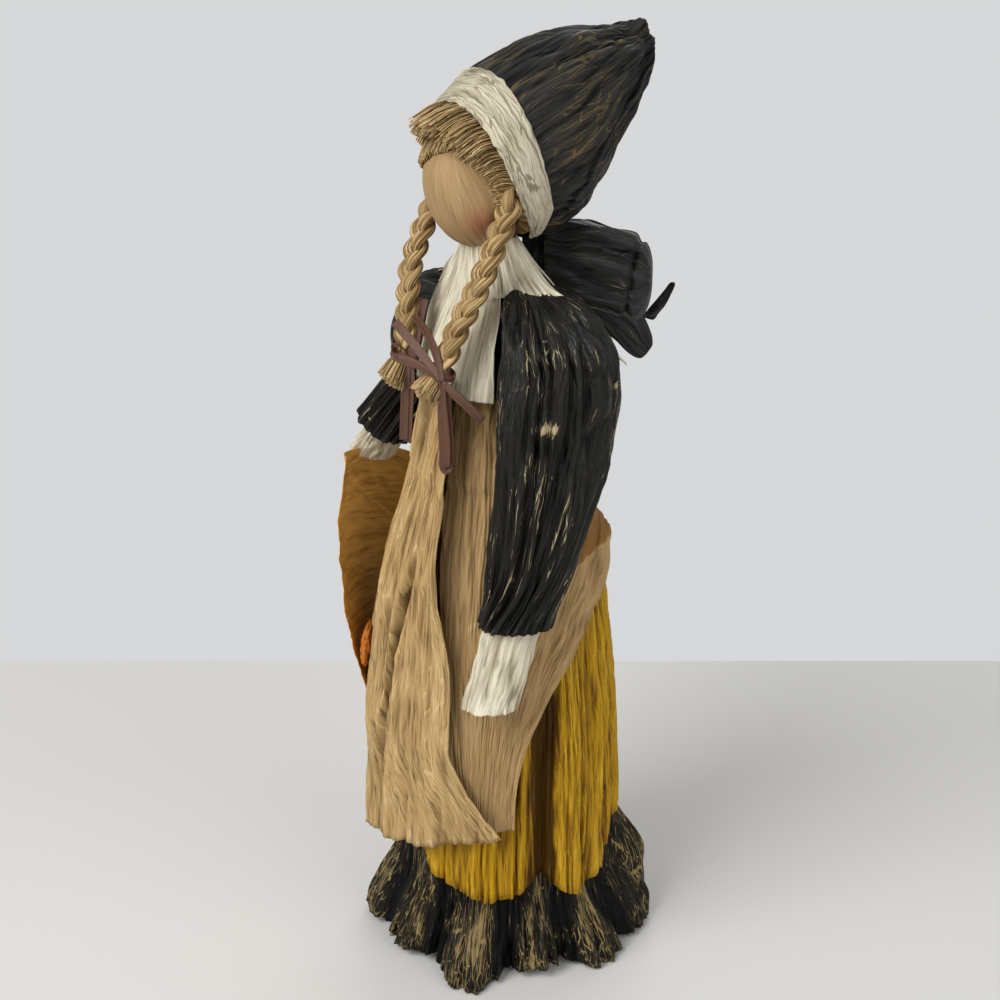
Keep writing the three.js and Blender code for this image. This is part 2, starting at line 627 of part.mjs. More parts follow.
// Collar: bib, two shoulder flaps and a back panel, all cut from one weight of ivory paper
const bibTop = neckline + GAP + PAPER;
function bibAt(u, v, w) {
  const across = mix(-1, 1, u);
  const drop = 1 - v;
  const hang = mix(BIB_FORWARD, BIB_SIDE, across * across);
  const neck = mix(NECKLINE_RADIUS + PAPER, BIB_SIDE - GAP, across * across);
  const lean = drop ** 0.7;
  const z = bibTop - BIB_LENGTH * drop - 1.5 * across * across * v;
  return at(BIB_HALF_WIDTH * across, -mix(neck, hang, lean) - PAPER * w, z);
}
add("collar_bib", cutSheet(10, 6, bibAt), IVORY);
function flapAt(side) {
  return (u, v, w) => {
    const turn = rad(mix(52, 128, v));
    const inner = around(turn, NECKLINE_RADIUS + PAPER, neckline + GAP);
    const outer = at(mix(BIB_HALF_WIDTH, FLAP_REACH, v), mix(GAP - BIB_SIDE + PAPER, 6, v), 0);
    outer.z = mix(bibTop - 2, neckline - 5, v);
    const p = inner.lerp(outer, u);
    p.z += PAPER * w + 1.2 * sin(PI * u);
    p.x *= side;
    return p;
  };
}
add("collar_left_flap", cutSheet(5, 5, flapAt(1)), IVORY);
add("collar_right_flap", cutSheet(5, 5, flapAt(-1)), IVORY);
function collarBackAt(u, v, w) {
  const angle = rad(mix(136, 224, u));
  const z = mix(neckline - 1 - COLLAR_BACK_LENGTH, neckline - 1, v);
  const curl = COLLAR_CURL * (1 - v) ** 3 * smooth(0.6, 0, u);
  return around(angle, bodiceOutside(angle, z) + 2 * GAP + curl + PAPER * w, z);
}
add("collar_back", cutSheet(8, 6, collarBackAt), IVORY);

// Nape bow: a knot over the collar, two puffed loops and two tails
const knotSeat = NECKLINE_RADIUS + PAPER / 2 + 2 * GAP + PAPER + GAP;
const napeKnot = at(0, knotSeat + KNOT_HALF_DEPTH + 2 * GAP, neckline);
function puff(middle, half) {
  return (u, v) => {
    const girth = sin(PI * v);
    const turn = 2 * PI * u;
    const p = at(half.x * girth * sin(turn), half.y * girth * cos(turn), half.z * cos(PI * v));
    return p.add(middle);
  };
}
const knotHalves = at(KNOT_HALF_WIDTH, KNOT_HALF_DEPTH, KNOT_HALF_HEIGHT);
add("nape_bow_knot", pod(12, 6, puff(napeKnot, knotHalves)), BLACK);
function loopAt(side) {
  const start = napeKnot.clone().add(at(side * (KNOT_HALF_WIDTH + GAP), 0, 1));
  const end = start.clone().add(at(side * LOOP_REACH_SIDE, LOOP_REACH_BACK, -4));
  const across = at(-LOOP_REACH_BACK, side * LOOP_REACH_SIDE, 0).normalize();
  return (u, v) => {
    const turn = 2 * PI * u;
    const girth = sin(PI * v ** 0.85) ** 0.75;
    const p = start.clone().lerp(end, v);
    p.addScaledVector(across, LOOP_HALF_THICK * girth * sin(turn));
    p.z += girth * LOOP_HALF_HEIGHT * (cos(turn) + cos(3 * turn) / 8);
    return p;
  };
}
add("nape_bow_left_loop", pod(14, 9, loopAt(1)), BLACK);
add("nape_bow_right_loop", pod(14, 9, loopAt(-1)), BLACK);
function tailAt(points, high, thick) {
  const path = through(points.map((p) => p.add(napeKnot)));
  return (u, v) => {
    const turn = 2 * PI * u;
    const girth = sin(PI * v) ** 0.5;
    const p = path.getPoint(v);
    p.x += thick * girth * sin(turn);
    p.z += high * girth * cos(turn);
    return p;
  };
}
function tailStart(rise) {
  return at(0, KNOT_HALF_DEPTH * sqrt(1 - (rise / KNOT_HALF_HEIGHT) ** 2) + GAP, rise);
}
const tailPoints = (rise, points) => [tailStart(rise), ...points.map((p) => p.add(tailStart(rise)))];
const wideTail = tailPoints(-3, [at(5, 15, -6), at(12, 26, -19), at(22, 33, -40)]);
const thinTail = tailPoints(5, [at(3, 20, 0), at(9, 35, -8), at(18, 46, -16)]);
add("nape_bow_wide_tail", pod(10, 7, tailAt(wideTail, 11, 2.4)), BLACK);
add("nape_bow_thin_tail", pod(8, 7, tailAt(thinTail, 3, 1.6)), BLACK);

// Arms: sections fan out from the armpit into a hanging sleeve, each a middle and two half axes
const armpit = at(BODICE_HALF_WIDTH + PAPER / 2 + GAP, -2, CONE_HEIGHT - ARMPIT_DROP);
const foldRoom = 0.6; // the sections of a bend keep this far from the fold's own line
function shoulderSections(side) {
  return SHOULDER_FAN.map(([degrees, reach, half]) => {
    const way = at(side * sin(rad(degrees)), 0, cos(rad(degrees)));
    const middle = at(side * armpit.x, armpit.y, armpit.z).addScaledVector(way, reach);
    return { middle, a: way.multiplyScalar(reach - foldRoom), b: at(0, half, 0) };
  });
}
function sleeve(sections) {
  const middles = through(sections.map((s) => s.middle));
  const as = through(sections.map((s) => s.a));
  const bs = through(sections.map((s) => s.b));
  return tubeSheet(14, 11, (u, v, w) => {
    const [a, b] = [as.getPoint(v), bs.getPoint(v)];
    const turn = 2 * PI * u;
    if (!w) [a.setLength(wireHole), b.setLength(wireHole)];
    return middles.getPoint(v).addScaledVector(a, cos(turn)).addScaledVector(b, sin(turn));
  });
}
function cuff(top, bottom, a, b) {
  return tubeSheet(16, 2, (u, v, w) => {
    const turn = 2 * PI * u;
    const p = top.clone().lerp(bottom, v);
    p.addScaledVector(a, (CUFF_HALF_THICK - PAPER * (1 - w)) * cos(turn));
    return p.addScaledVector(b, (CUFF_HALF_WIDTH - PAPER * (1 - w)) * sin(turn));
  });
}
function hand(top, bottom, a, b) {
  const room = PAPER + 2 * GAP;
  return pod(10, 6, (u, v) => {
    const turn = 2 * PI * u;
    const girth = sin(PI * v) ** 0.6;
    const p = top.clone().lerp(bottom, v);
    p.addScaledVector(a, (CUFF_HALF_THICK - room) * girth * cos(turn));
    return p.addScaledVector(b, (CUFF_HALF_WIDTH - room) * girth * sin(turn));
  });
}
function arm(side, name, sections, cuffEnd, handEnd) {
  const last = sections[sections.length - 1];
  const [a, b] = [last.a.clone().normalize(), last.b.clone().normalize()];
  const out = b.clone().cross(a).normalize();
  const way = cuffEnd.clone().sub(last.middle).normalize();
  if (out.dot(way) < 0) out.negate();
  const cuffTop = last.middle.clone().addScaledVector(out, GAP);
  const handTop = cuffTop.clone().lerp(cuffEnd, 0.55);
  add(name + "_sleeve", sleeve(sections), BLACK);
  add(name + "_cuff", cuff(cuffTop, cuffEnd, a, b), IVORY);
  add(name + "_hand", hand(handTop, handEnd, a, b), SKIN);
  const middles = sections.map((s) => s.middle.clone());
  middles[0].x += side * GAP;
  middles.push(handTop.clone().addScaledVector(way, -GAP));
  add(name + "_arm_wire", along(through(middles), 16, roundSection(WIRE_RADIUS, 6)), WIRE);
}

// Left arm, hanging in front of the hip
const leftTurn = rad(36);
const hang = (x, y, drop) => at(armpit.x + x, armpit.y + y, armpit.z - drop);
function fallSection([x, y, drop, thick, width]) {
  return { middle: hang(x, y, drop), a: at(thick, 0, 0), b: at(0, width, 0) };
}
const leftSections = [
  ...shoulderSections(1),
  ...LEFT_FALL.map(fallSection),
  {
    middle: hang(22.6, -29.5, 94),
    a: at(cos(leftTurn), -sin(leftTurn), 0).multiplyScalar(WRIST_HALF_THICK),
    b: at(sin(leftTurn), cos(leftTurn), 0).multiplyScalar(LEFT_WRIST_HALF_WIDTH),
  },
];
const leftCuffEnd = hang(20.6, -41.5, 134);
const leftHandEnd = leftCuffEnd.clone().add(at(0, -1, -HAND_SHOWS));
arm(1, "left", leftSections, leftCuffEnd, leftHandEnd);

// Right arm, bent at the elbow to hold the lip of the lifted corner
const hold = liftedAt(0.3, 1, 0.5);
const elbowFold = at(-armpit.x - 22, armpit.y - 17.5, armpit.z - 16);
const elbowSections = ELBOW_FAN.map(([degrees, reach, half]) => {
  const way = at(0, cos(rad(degrees)), -sin(rad(degrees)));
  const middle = elbowFold.clone().addScaledVector(way, reach);
  return { middle, a: at(-half, 0, 0), b: way.multiplyScalar(reach - foldRoom) };
});
const forearm = elbowSections[2].middle.clone();
const rightWrist = forearm.clone().lerp(hold, 0.5).add(at(-1, 0, 2));
const rightWay = hold.clone().sub(rightWrist).normalize();
const rightAcross = at(-1, 0, 0);
const rightDown = rightWay.clone().cross(rightAcross).normalize();
if (rightDown.dot(elbowSections[2].b) < 0) rightDown.negate();
rightAcross.crossVectors(rightDown, rightWay).normalize();
if (rightAcross.x > 0) rightAcross.negate();
const rightSections = [
  ...shoulderSections(-1),
  ...elbowSections,
  {
    middle: rightWrist,
    a: rightAcross.clone().multiplyScalar(WRIST_HALF_THICK),
    b: rightDown.clone().multiplyScalar(RIGHT_WRIST_HALF_WIDTH),
  },
];
const rightCuffEnd = hold.clone().addScaledVector(rightWay, -9);
const rightHandEnd = hold.clone().addScaledVector(rightWay, -GAP - 1.4 * PAPER);
arm(-1, "right", rightSections, rightCuffEnd, rightHandEnd);

export default doll;
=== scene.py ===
# The looks of a paper twist doll, in metres, +Z up: it faces -Y and its left hand is on +X.
import random
from functools import lru_cache
from math import atan2, cos, exp, hypot, pi, radians, sin, sqrt

import bmesh
import bpy
from mathutils import Matrix, Vector, noise


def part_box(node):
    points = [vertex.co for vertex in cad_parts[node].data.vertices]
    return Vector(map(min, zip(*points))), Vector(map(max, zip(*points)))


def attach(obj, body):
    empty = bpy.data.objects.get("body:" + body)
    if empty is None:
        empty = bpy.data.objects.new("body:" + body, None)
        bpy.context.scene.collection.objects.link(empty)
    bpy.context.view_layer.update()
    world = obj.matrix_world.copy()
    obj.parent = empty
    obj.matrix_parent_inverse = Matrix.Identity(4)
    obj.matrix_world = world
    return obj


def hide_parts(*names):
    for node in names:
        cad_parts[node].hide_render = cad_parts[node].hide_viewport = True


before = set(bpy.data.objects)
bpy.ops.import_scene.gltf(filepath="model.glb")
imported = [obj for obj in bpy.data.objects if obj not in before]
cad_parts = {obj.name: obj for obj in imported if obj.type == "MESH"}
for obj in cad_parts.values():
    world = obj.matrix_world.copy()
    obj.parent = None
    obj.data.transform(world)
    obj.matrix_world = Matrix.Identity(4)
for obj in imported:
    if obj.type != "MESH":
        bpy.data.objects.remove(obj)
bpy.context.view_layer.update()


# Foam cone and head ball
# The doll is built on a stock cone of pressed white foam beads, and its head on an egg of the same foam.
# Paper hides both but for the cone's flat foot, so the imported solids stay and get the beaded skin.
BEAD = 0.0028  # metres across one foam bead


def ink(red, green, blue):
    """A colour as it looks on a screen, as the linear colour that a shader takes."""
    return (*(((c + 0.055) / 1.055) ** 2.4 if c > 0.04 else c / 12.92 for c in (red, green, blue)), 1)


def new_material(name):
    material = bpy.data.materials.new(name)
    material.use_nodes = True
    return material, material.node_tree, material.node_tree.nodes["Principled BSDF"]


def add_node(tree, kind, values=(), **settings):
    node = tree.nodes.new("ShaderNode" + kind)
    for key, value in settings.items():
        setattr(node, key, value)
    for socket, value in dict(values).items():
        if isinstance(value, bpy.types.NodeSocket):
            tree.links.new(value, node.inputs[socket])
        else:
            node.inputs[socket].default_value = value
    return node


def worked(tree, operation, *values):
    """The result of a Math node."""
    return add_node(tree, "Math", dict(enumerate(values)), operation=operation).outputs[0]


def ramped(tree, value, low, high):
    """0 below low, 1 above high and smooth between."""
    values = {"Value": value, "From Min": low, "From Max": high}
    return add_node(tree, "MapRange", values, interpolation_type="SMOOTHSTEP").outputs[0]


def blended(tree, share, first, second, how="MIX"):
    values = {0: share, 6: first, 7: second}
    return add_node(tree, "Mix", values, data_type="RGBA", blend_type=how).outputs[2]


def speckle(tree, place, scale, detail=2.0):
    """Noise with its own scale along each axis, in features per metre."""
    spread = add_node(tree, "Mapping", {"Vector": place, "Scale": scale}).outputs[0]
    return add_node(tree, "TexNoise", {"Vector": spread, "Scale": 1.0, "Detail": detail}).outputs[0]


def raise_skin(tree, shader, height, distance, strength=0.8):
    values = {"Height": height, "Distance": distance, "Strength": strength}
    tree.links.new(add_node(tree, "Bump", values).outputs[0], shader.inputs["Normal"])


foam, tree, shader = new_material("foam beads")
place = add_node(tree, "TexCoord").outputs["Object"]
beads = add_node(tree, "TexVoronoi", {"Vector": place, "Scale": 1 / BEAD}).outputs["Distance"]
# The gaps between the beads are tinted darker grey: painted shade between the beads.
bead_gap_shade = ramped(tree, beads, 0.35, 0.75)
tint = blended(tree, bead_gap_shade, ink(0.94, 0.94, 0.92), ink(0.78, 0.77, 0.73))
tree.links.new(tint, shader.inputs["Base Color"])
tree.links.new(worked(tree, "MULTIPLY_ADD", bead_gap_shade, 0.2, 0.65), shader.inputs["Roughness"])
raise_skin(tree, shader, worked(tree, "SUBTRACT", 1.0, beads), 0.0005)


def finish_nodes(material, *nodes):
    for node in nodes:
        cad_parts[node].data.materials.clear()
        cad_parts[node].data.materials.append(material)


finish_nodes(foam, "foam_cone", "head_ball")


# Wires and ties
# Paper-covered craft wire runs through neck, shoulders and arms, and thinner wire ties the gathers.
# They hide in the paper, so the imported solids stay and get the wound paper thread's fine rings.
wire, tree, shader = new_material("covered wire")
place = add_node(tree, "TexCoord").outputs["Object"]
rings = speckle(tree, place, (500, 500, 1600))
tint = blended(tree, rings, ink(0.36, 0.29, 0.22), ink(0.52, 0.44, 0.34))
tree.links.new(tint, shader.inputs["Base Color"])
tree.links.new(worked(tree, "MULTIPLY_ADD", rings, 0.3, 0.5), shader.inputs["Roughness"])
raise_skin(tree, shader, rings, 0.0003)
finish_nodes(wire, "neck_wire", "shoulder_wire", "left_arm_wire", "right_arm_wire", "neck_tie", "waist_tie")


# Petticoat
# A width of black crinkled paper, gathered high on the cone under the skirt and flared at the floor
# into a ruffle of rounded lobes with sharp gaps. Its creases are rubbed through to the tan paper.
MM = 0.001  # shapes are worked out in millimetres, and their meshes are made in metres
PAPER = 1.2  # crinkled paper from crest to crest, as the solids have it
GAP = 0.3
PAPER_WALL = 0.28 * MM
CONE_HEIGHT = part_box("foam_cone")[1].z / MM
CONE_FOOT, CONE_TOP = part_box("foam_cone")[1].x / MM, 10
PETTICOAT_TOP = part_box("petticoat")[1].z / MM
PETTICOAT_EASE, RUFFLE_TOP, RUFFLE_FLARE, RUFFLE_DEPTH = 11, 37, 12.5, 7
# Degrees round the doll, reach beyond the cone and height of the edge, by turns for a gap and a lobe
PETALS = (
    (-180, 6, 4), (-165, 18, 1), (-146, 6, 4), (-122, 19, 0.6), (-100, 6, 4), (-75, 19, 0.6), (-54, 7, 4),
    (-32, 17, 3), (-14, 10, 5), (2, 13, 4), (20, 6, 5), (41, 20.5, 0.6), (55, 4.5, 3), (72, 11, 5),
    (85, 3, 4), (101, 17.5, 0.6), (116, 12, 3), (138, 21, 1.5), (156, 8, 4), (168, 17, 0.8), (180, 6, 4))


def mix(first, second, share):
    return first + (second - first) * share


def smooth(low, high, value):
    share = min(1, max(0, (value - low) / (high - low)))
    return share * share * (3 - 2 * share)


def swell(value, middle, width):
    """1 at the middle, fading out smoothly over a width on both sides."""
    return exp(-((value - middle) / width) ** 2)


def around(angle, radius, z):
    """A point at an angle round the doll, from its front towards its left hand."""
    return Vector((radius * sin(angle), -radius * cos(angle), z))


def zigzag(value):
    """Straight-sided folds from -1 to 1, with their crests at whole numbers."""
    return 4 * abs(value % 1 - 0.5) - 1


def rounded_folds(phase, sharpness=0.75):
    """Folds from -1 to 1, with round crests and sharp valleys."""
    return 2 * abs(cos(phase / 2)) ** sharpness - 1


def crinkle(x, y, along, fold, crease):
    """Lengthwise folds and creases of paper twist: their height here, and from -1 to 1 how near a crest."""
    bend = noise.noise((x / 8, y / 8, along / 13))
    broad = zigzag(1.7 * noise.noise((x / 10 + 0.1 * bend, y / 10, along / 80)))
    sharp = zigzag(2 * noise.noise((x / 4.3 + 0.2 * bend, y / 4.3, along / 32 + 40)))
    fine = noise.noise((x / 1.2, y / 1.2, along / 9 + 80))
    return fold * broad + crease * (sharp + 0.5 * fine), 0.4 * broad + 0.5 * sharp + 0.4 * fine


def crinkle_round(radius, turn, along, fold, crease):
    return crinkle(radius * sin(turn), radius * cos(turn), along, fold, crease)


def piece_from(bm, name, wall=0):
    for face in bm.faces:
        face.smooth = True
    bmesh.ops.remove_doubles(bm, verts=bm.verts, dist=0.002 * MM)
    bmesh.ops.dissolve_degenerate(bm, edges=bm.edges, dist=0.001 * MM)
    bmesh.ops.recalc_face_normals(bm, faces=bm.faces)
    mesh = bpy.data.meshes.new(name)
    bm.to_mesh(mesh)
    bm.free()
    piece = bpy.data.objects.new(name, mesh)
    bpy.context.scene.collection.objects.link(piece)
    if wall:
        thickness = piece.modifiers.new("wall", "SOLIDIFY")
        thickness.thickness = wall
        thickness.offset = 0
    return piece


def dress(piece, material, body, node):
    """Gives a piece its material and says what it rides on and stands for."""
    piece.data.materials.append(material)
    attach(piece, body)
    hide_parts(node)


def form(name, columns, rows, grain, place, wall=PAPER_WALL, across=False):
    """A sheet whose points all move to place(u, v): a point and its crest, which steers the painted shade and
    the rubbing there. Its grain runs along v or u.
    """
    bm = bmesh.new()
    uv = bm.loops.layers.uv.new("UVMap")
    crest = bm.verts.layers.float.new("crest")
    for vert in bmesh.ops.create_grid(bm, x_segments=columns, y_segments=rows, size=0.5)["verts"]:
        u, v = vert.co.x + 0.5, vert.co.y + 0.5
        for loop in vert.link_loops:
            loop[uv].uv = (v * grain[1], u * grain[0]) if across else (u * grain[0], v * grain[1])
        point, vert[crest] = place(u, v)
        vert.co = point * MM
    return piece_from(bm, name, wall)


crinkled = bpy.data.node_groups.new("crinkled paper", "ShaderNodeTree")
PAPER_COLOURS, PAPER_NUMBERS = ("Paper", "Shade", "Worn"), ("Wear", "Gloss", "Crease shade")
for way, colours, numbers in (
        ("INPUT", PAPER_COLOURS, PAPER_NUMBERS), ("OUTPUT", ("Color",), ("Roughness", "Height"))):
    for label in colours + numbers:
        kind = "NodeSocketColor" if label in colours else "NodeSocketFloat"
        crinkled.interface.new_socket(label, in_out=way, socket_type=kind)
given = crinkled.nodes.new("NodeGroupInput").outputs
result = crinkled.nodes.new("NodeGroupOutput").inputs
uv = add_node(crinkled, "UVMap", uv_map="UVMap").outputs[0]
drift = add_node(crinkled, "TexNoise", {"Vector": uv, "Scale": 70.0, "Detail": 3.0}).outputs["Color"]
bent = {0: drift, 1: (0.004, 0.004, 0), 2: uv}
bent = add_node(crinkled, "VectorMath", bent, operation="MULTIPLY_ADD").outputs[0]


def crushed(scale, feature):
    """Long facets of crushed paper: the distance from their middles, or from the creases between them."""
    spread = add_node(crinkled, "Mapping", {"Vector": bent, "Scale": scale}).outputs[0]
    settings = {"voronoi_dimensions": "2D", "feature": feature}
    return add_node(crinkled, "TexVoronoi", {"Vector": spread, "Scale": 1.0}, **settings).outputs["Distance"]


# How many to the metre, across and along the paper
BROAD_FACETS, SMALL_FACETS, FIBRES, PATCHES = (140, 13, 1), (430, 44, 1), (1100, 70, 1), (46, 24, 1)
fibres = worked(crinkled, "SUBTRACT", speckle(crinkled, bent, FIBRES, 3.0), 0.5)
broad, small = crushed(BROAD_FACETS, "F1"), crushed(SMALL_FACETS, "F1")
broad_creases = ramped(crinkled, crushed(BROAD_FACETS, "DISTANCE_TO_EDGE"), 0.05, 0.0)
small_creases = ramped(crinkled, crushed(SMALL_FACETS, "DISTANCE_TO_EDGE"), 0.09, 0.0)
creases = worked(crinkled, "MAXIMUM", broad_creases, small_creases)
patches = ramped(crinkled, speckle(crinkled, uv, PATCHES), 0.4, 0.62)
crest = add_node(crinkled, "Attribute", attribute_name="crest").outputs["Fac"]
facets = worked(crinkled, "MULTIPLY_ADD", broad, 3.0, worked(crinkled, "MULTIPLY", small, 1.3))
relief = worked(crinkled, "MULTIPLY_ADD", fibres, 1.5, facets)
# Valleys and the low middles of facets take the Shade colour and crests take the Paper colour, with the
# fibres' streaks mixed in: painted shade of the crinkles, with real grain.
relief_shade_and_grain = worked(crinkled, "MULTIPLY_ADD", crest, 0.5, worked(crinkled, "MULTIPLY", fibres, 1.7))
relief_shade_and_grain = worked(crinkled, "MULTIPLY_ADD", worked(crinkled, "ADD", broad, small), 0.6, relief_shade_and_grain)
base = blended(crinkled, ramped(crinkled, relief_shade_and_grain, -0.25, 1.05), given["Shade"], given["Paper"])
# Thin dark lines along the fibres and the deepest valleys go towards black: painted shade in the creases, as
# strong as each paper asks.
crease_shade_lines = worked(crinkled, "MULTIPLY", ramped(crinkled, fibres, -0.08, -0.2), 0.6)
deep = worked(crinkled, "MAXIMUM", ramped(crinkled, crest, -0.5, -1.0), crease_shade_lines)
valley_shade_colour = add_node(crinkled, "VectorMath", {0: given["Shade"], "Scale": 0.3}, operation="SCALE").outputs[0]
base = blended(crinkled, worked(crinkled, "MULTIPLY", deep, given["Crease shade"]), base, valley_shade_colour)
wear = worked(crinkled, "MULTIPLY_ADD", creases, 0.35, worked(crinkled, "MULTIPLY", fibres, 0.9))
wear = worked(crinkled, "MULTIPLY_ADD", patches, 0.3, worked(crinkled, "MULTIPLY_ADD", crest, 0.2, wear))
start = worked(crinkled, "SUBTRACT", 1.0, given["Wear"])
wear = ramped(crinkled, wear, start, worked(crinkled, "ADD", start, 0.14))
wear = worked(crinkled, "MULTIPLY_ADD", wear, 0.85, ramped(crinkled, crest, 1.7, 2.3))
wear = add_node(crinkled, "Clamp", {0: wear}).outputs[0]
crinkled.links.new(blended(crinkled, wear, base, given["Worn"]), result["Color"])
sheen = worked(crinkled, "MULTIPLY_ADD", wear, 0.2, worked(crinkled, "MULTIPLY", fibres, 0.3))
crinkled.links.new(worked(crinkled, "ADD", given["Gloss"], sheen), result["Roughness"])
crinkled.links.new(relief, result["Height"])


def paper_material(name, paper, shade, worn, wear, gloss, lift=0.0004, specular=0.12, deep=0.8):
    """Crinkled paper: its colour on crests, its painted shade in folds, its colour where rubbed, how far
    rubbed, how rough and how dark the painted shade in its creases goes.
    """
    material, tree, shader = new_material(name)
    skin = add_node(tree, "Group", node_tree=crinkled)
    for label, value in zip(PAPER_COLOURS + PAPER_NUMBERS, (paper, shade, worn, wear, gloss, deep)):
        skin.inputs[label].default_value = value
    tree.links.new(skin.outputs["Color"], shader.inputs["Base Color"])
    tree.links.new(skin.outputs["Roughness"], shader.inputs["Roughness"])
    shader.inputs["Specular IOR Level"].default_value = specular
    raise_skin(tree, shader, skin.outputs["Height"], lift, 1.0)
    return material


def cone_radius(z):
    return mix(CONE_FOOT, CONE_TOP, z / CONE_HEIGHT)


def ruffle(z, top=RUFFLE_TOP):
    return 1 - smooth(0, top, z)


def petticoat_inside(z):
    bell = max(0, sin(pi * max(0, z / PETTICOAT_TOP) ** 1.4)) ** 0.6
    return cone_radius(z) + GAP + PAPER / 2 + PETTICOAT_EASE * bell


def petal(degrees):
    """How far the ruffle's edge stands out here, how high it is, and from 0 to 1 how near a gap."""
    place = next(i for i in range(1, len(PETALS)) if degrees <= PETALS[i][0])
    first, second = PETALS[place - 1:place + 1]
    share = (degrees - first[0]) / (second[0] - first[0])
    if first[1] < second[1]:
        first, second, share = second, first, 1 - share
    return mix(first[1], second[1], share ** 1.7), mix(first[2], second[2], share ** 1.7), share


def petticoat_at(u, v):
    degrees = 360 * (u - 0.5)
    angle = radians(degrees)
    reach, hem, valley = petal(degrees)
    z = mix(hem, PETTICOAT_TOP, v ** 1.7)
    flare = ruffle(z, RUFFLE_TOP + 33 * swell(degrees, 148, 20) + 16 * swell(degrees, -34, 18))
    flare = max(flare, swell(degrees, 146, 13) * (1 - smooth(30, 70, z)))
    small = rounded_folds(41 * angle + 1.5 * sin(4 * angle) + 0.06 * z)
    ridge, crest = crinkle_round(54, angle, z, 1.6 * flare, 0.75)
    hidden = 5 * smooth(58, 85, z) + 3.2 * swell(degrees, 75, 8) * smooth(20, 40, z)
    radius = petticoat_inside(z) + flare * (reach + 1.7 * small) + ridge - hidden
    # Near each gap between lobes the crest drops far, so the gaps go towards black: painted shade in the
    # gaps.
    return around(angle, radius, z), crest + 0.55 - 2.3 * valley ** 1.9


ruffle_black = paper_material(
    "rubbed black paper", ink(0.12, 0.105, 0.08), ink(0.03, 0.027, 0.022), ink(0.58, 0.50, 0.33), 0.62, 0.45)
petticoat = form("petticoat_paper", 760, 46, (0.85, 0.3), petticoat_at)
dress(petticoat, ruffle_black, "doll", "petticoat")


# Overskirt
# A longer width of mustard crinkled paper, gathered and wired at the waist over the petticoat.
# It hangs in straight pleats, some of them deep, to a cut, swaying hem that shows the ruffle.
SKIRT_HEM, SKIRT_TOP = 40, 258
SKIRT_EASE, SKIRT_PLEATS, PLEAT_TOP, PLEAT_HEM = 2.5, 16, 0.5, 3.1
# Degrees round the doll and height of the hem there
HEMLINE = (
    (-180, 43), (-140, 38), (-112, 42), (-75, 40), (-45, 50), (-15, 60), (3, 60), (11, 52), (20, 46),
    (30, 41), (48, 37), (59, 40), (68, 45), (74, 48), (79, 44), (88, 37), (96, 35), (105, 38), (120, 50),
    (135, 62), (150, 66), (165, 58), (180, 43))
# Degrees round the doll, depth and width in degrees of the deep pleats
DEEP_PLEATS = (
    (74.5, 6.5, 11), (61, 3, 2), (117, 4.5, 4), (24, 2.4, 1.4), (98, 3.4, 2), (88, 2, 1.4), (44, 2, 1.4),
    (-35, 5, 3), (-95, 6, 4), (-150, 5, 3), (150, 6, 4))


def profile(points, x):
    """The height at x of a line from point to point."""
    for (start, low), (end, high) in zip(points, points[1:]):
        if x <= end:
            return mix(low, high, (x - start) / (end - start))
    return points[-1][1]


def tent(value, middle, width):
    """1 at the middle, straight down to 0 at a width from it."""
    return max(0, 1 - abs(value - middle) / width)


def petticoat_crest(z):
    return petticoat_inside(z) + PAPER / 2 + (RUFFLE_FLARE + RUFFLE_DEPTH) * ruffle(z)


def skirt_pleat(z):
    return mix(PLEAT_TOP, PLEAT_HEM, max(0, (SKIRT_TOP - z) / (SKIRT_TOP - SKIRT_HEM)))


def skirt_middle(z):
    share = min(1, max(0, (SKIRT_TOP - z) / (SKIRT_TOP - SKIRT_HEM)))
    under = cone_radius(z) if z > PETTICOAT_TOP else petticoat_crest(z)
    return under + GAP + PAPER / 2 + SKIRT_EASE * sin(pi * share ** 0.6) + skirt_pleat(z)


def skirt_crest(z):
    return skirt_middle(z) + skirt_pleat(z) + PAPER / 2


def skirt_at(u, v):
    degrees = 360 * (u - 0.5)
    angle = radians(degrees)
    z = mix(profile(HEMLINE, degrees), SKIRT_TOP, v)
    z -= 0.7 * (1 - v) ** 6 * noise.noise((9 * sin(angle), 9 * cos(angle), 0))
    low = (1 - v) ** 0.7
    pleat = rounded_folds(SKIRT_PLEATS * angle + 0.8 * sin(2 * angle) + 0.3 * sin(z / 31), 0.9)
    sway = 2 * (v - 0.3)
    deep = sum(depth * tent(degrees, spot + sway, wide) for spot, depth, wide in DEEP_PLEATS)
    ridge, crest = crinkle_round(60, angle, z * 0.5, 0.3 + 0.5 * low, 0.5)
    radius = skirt_middle(max(z, SKIRT_HEM - 1)) + 0.55 * skirt_pleat(z) * pleat + ridge - deep * low
    # Pleat valleys, and the deep pleats most, are darkened through the crest and pleat crests lightened:
    # painted shade in the folds.
    return around(angle, radius, z), crest + 0.45 * pleat + 0.1 - 0.42 * deep


mustard = paper_material(
    "mustard paper", ink(0.73, 0.56, 0.10), ink(0.40, 0.26, 0.035), ink(0.80, 0.65, 0.22), 0.5, 0.5)
skirt = form("skirt_paper", 800, 46, (0.5, 0.222), skirt_at)
dress(skirt, mustard, "doll", "skirt")


# Bodice
# Black crinkled paper wrapped round the top of the cone and the shoulder wire, gathered at the neck.
# Its lower edge is glued over the gathered top of the skirt.
BODICE_HEM, NECKLINE = 227, 310


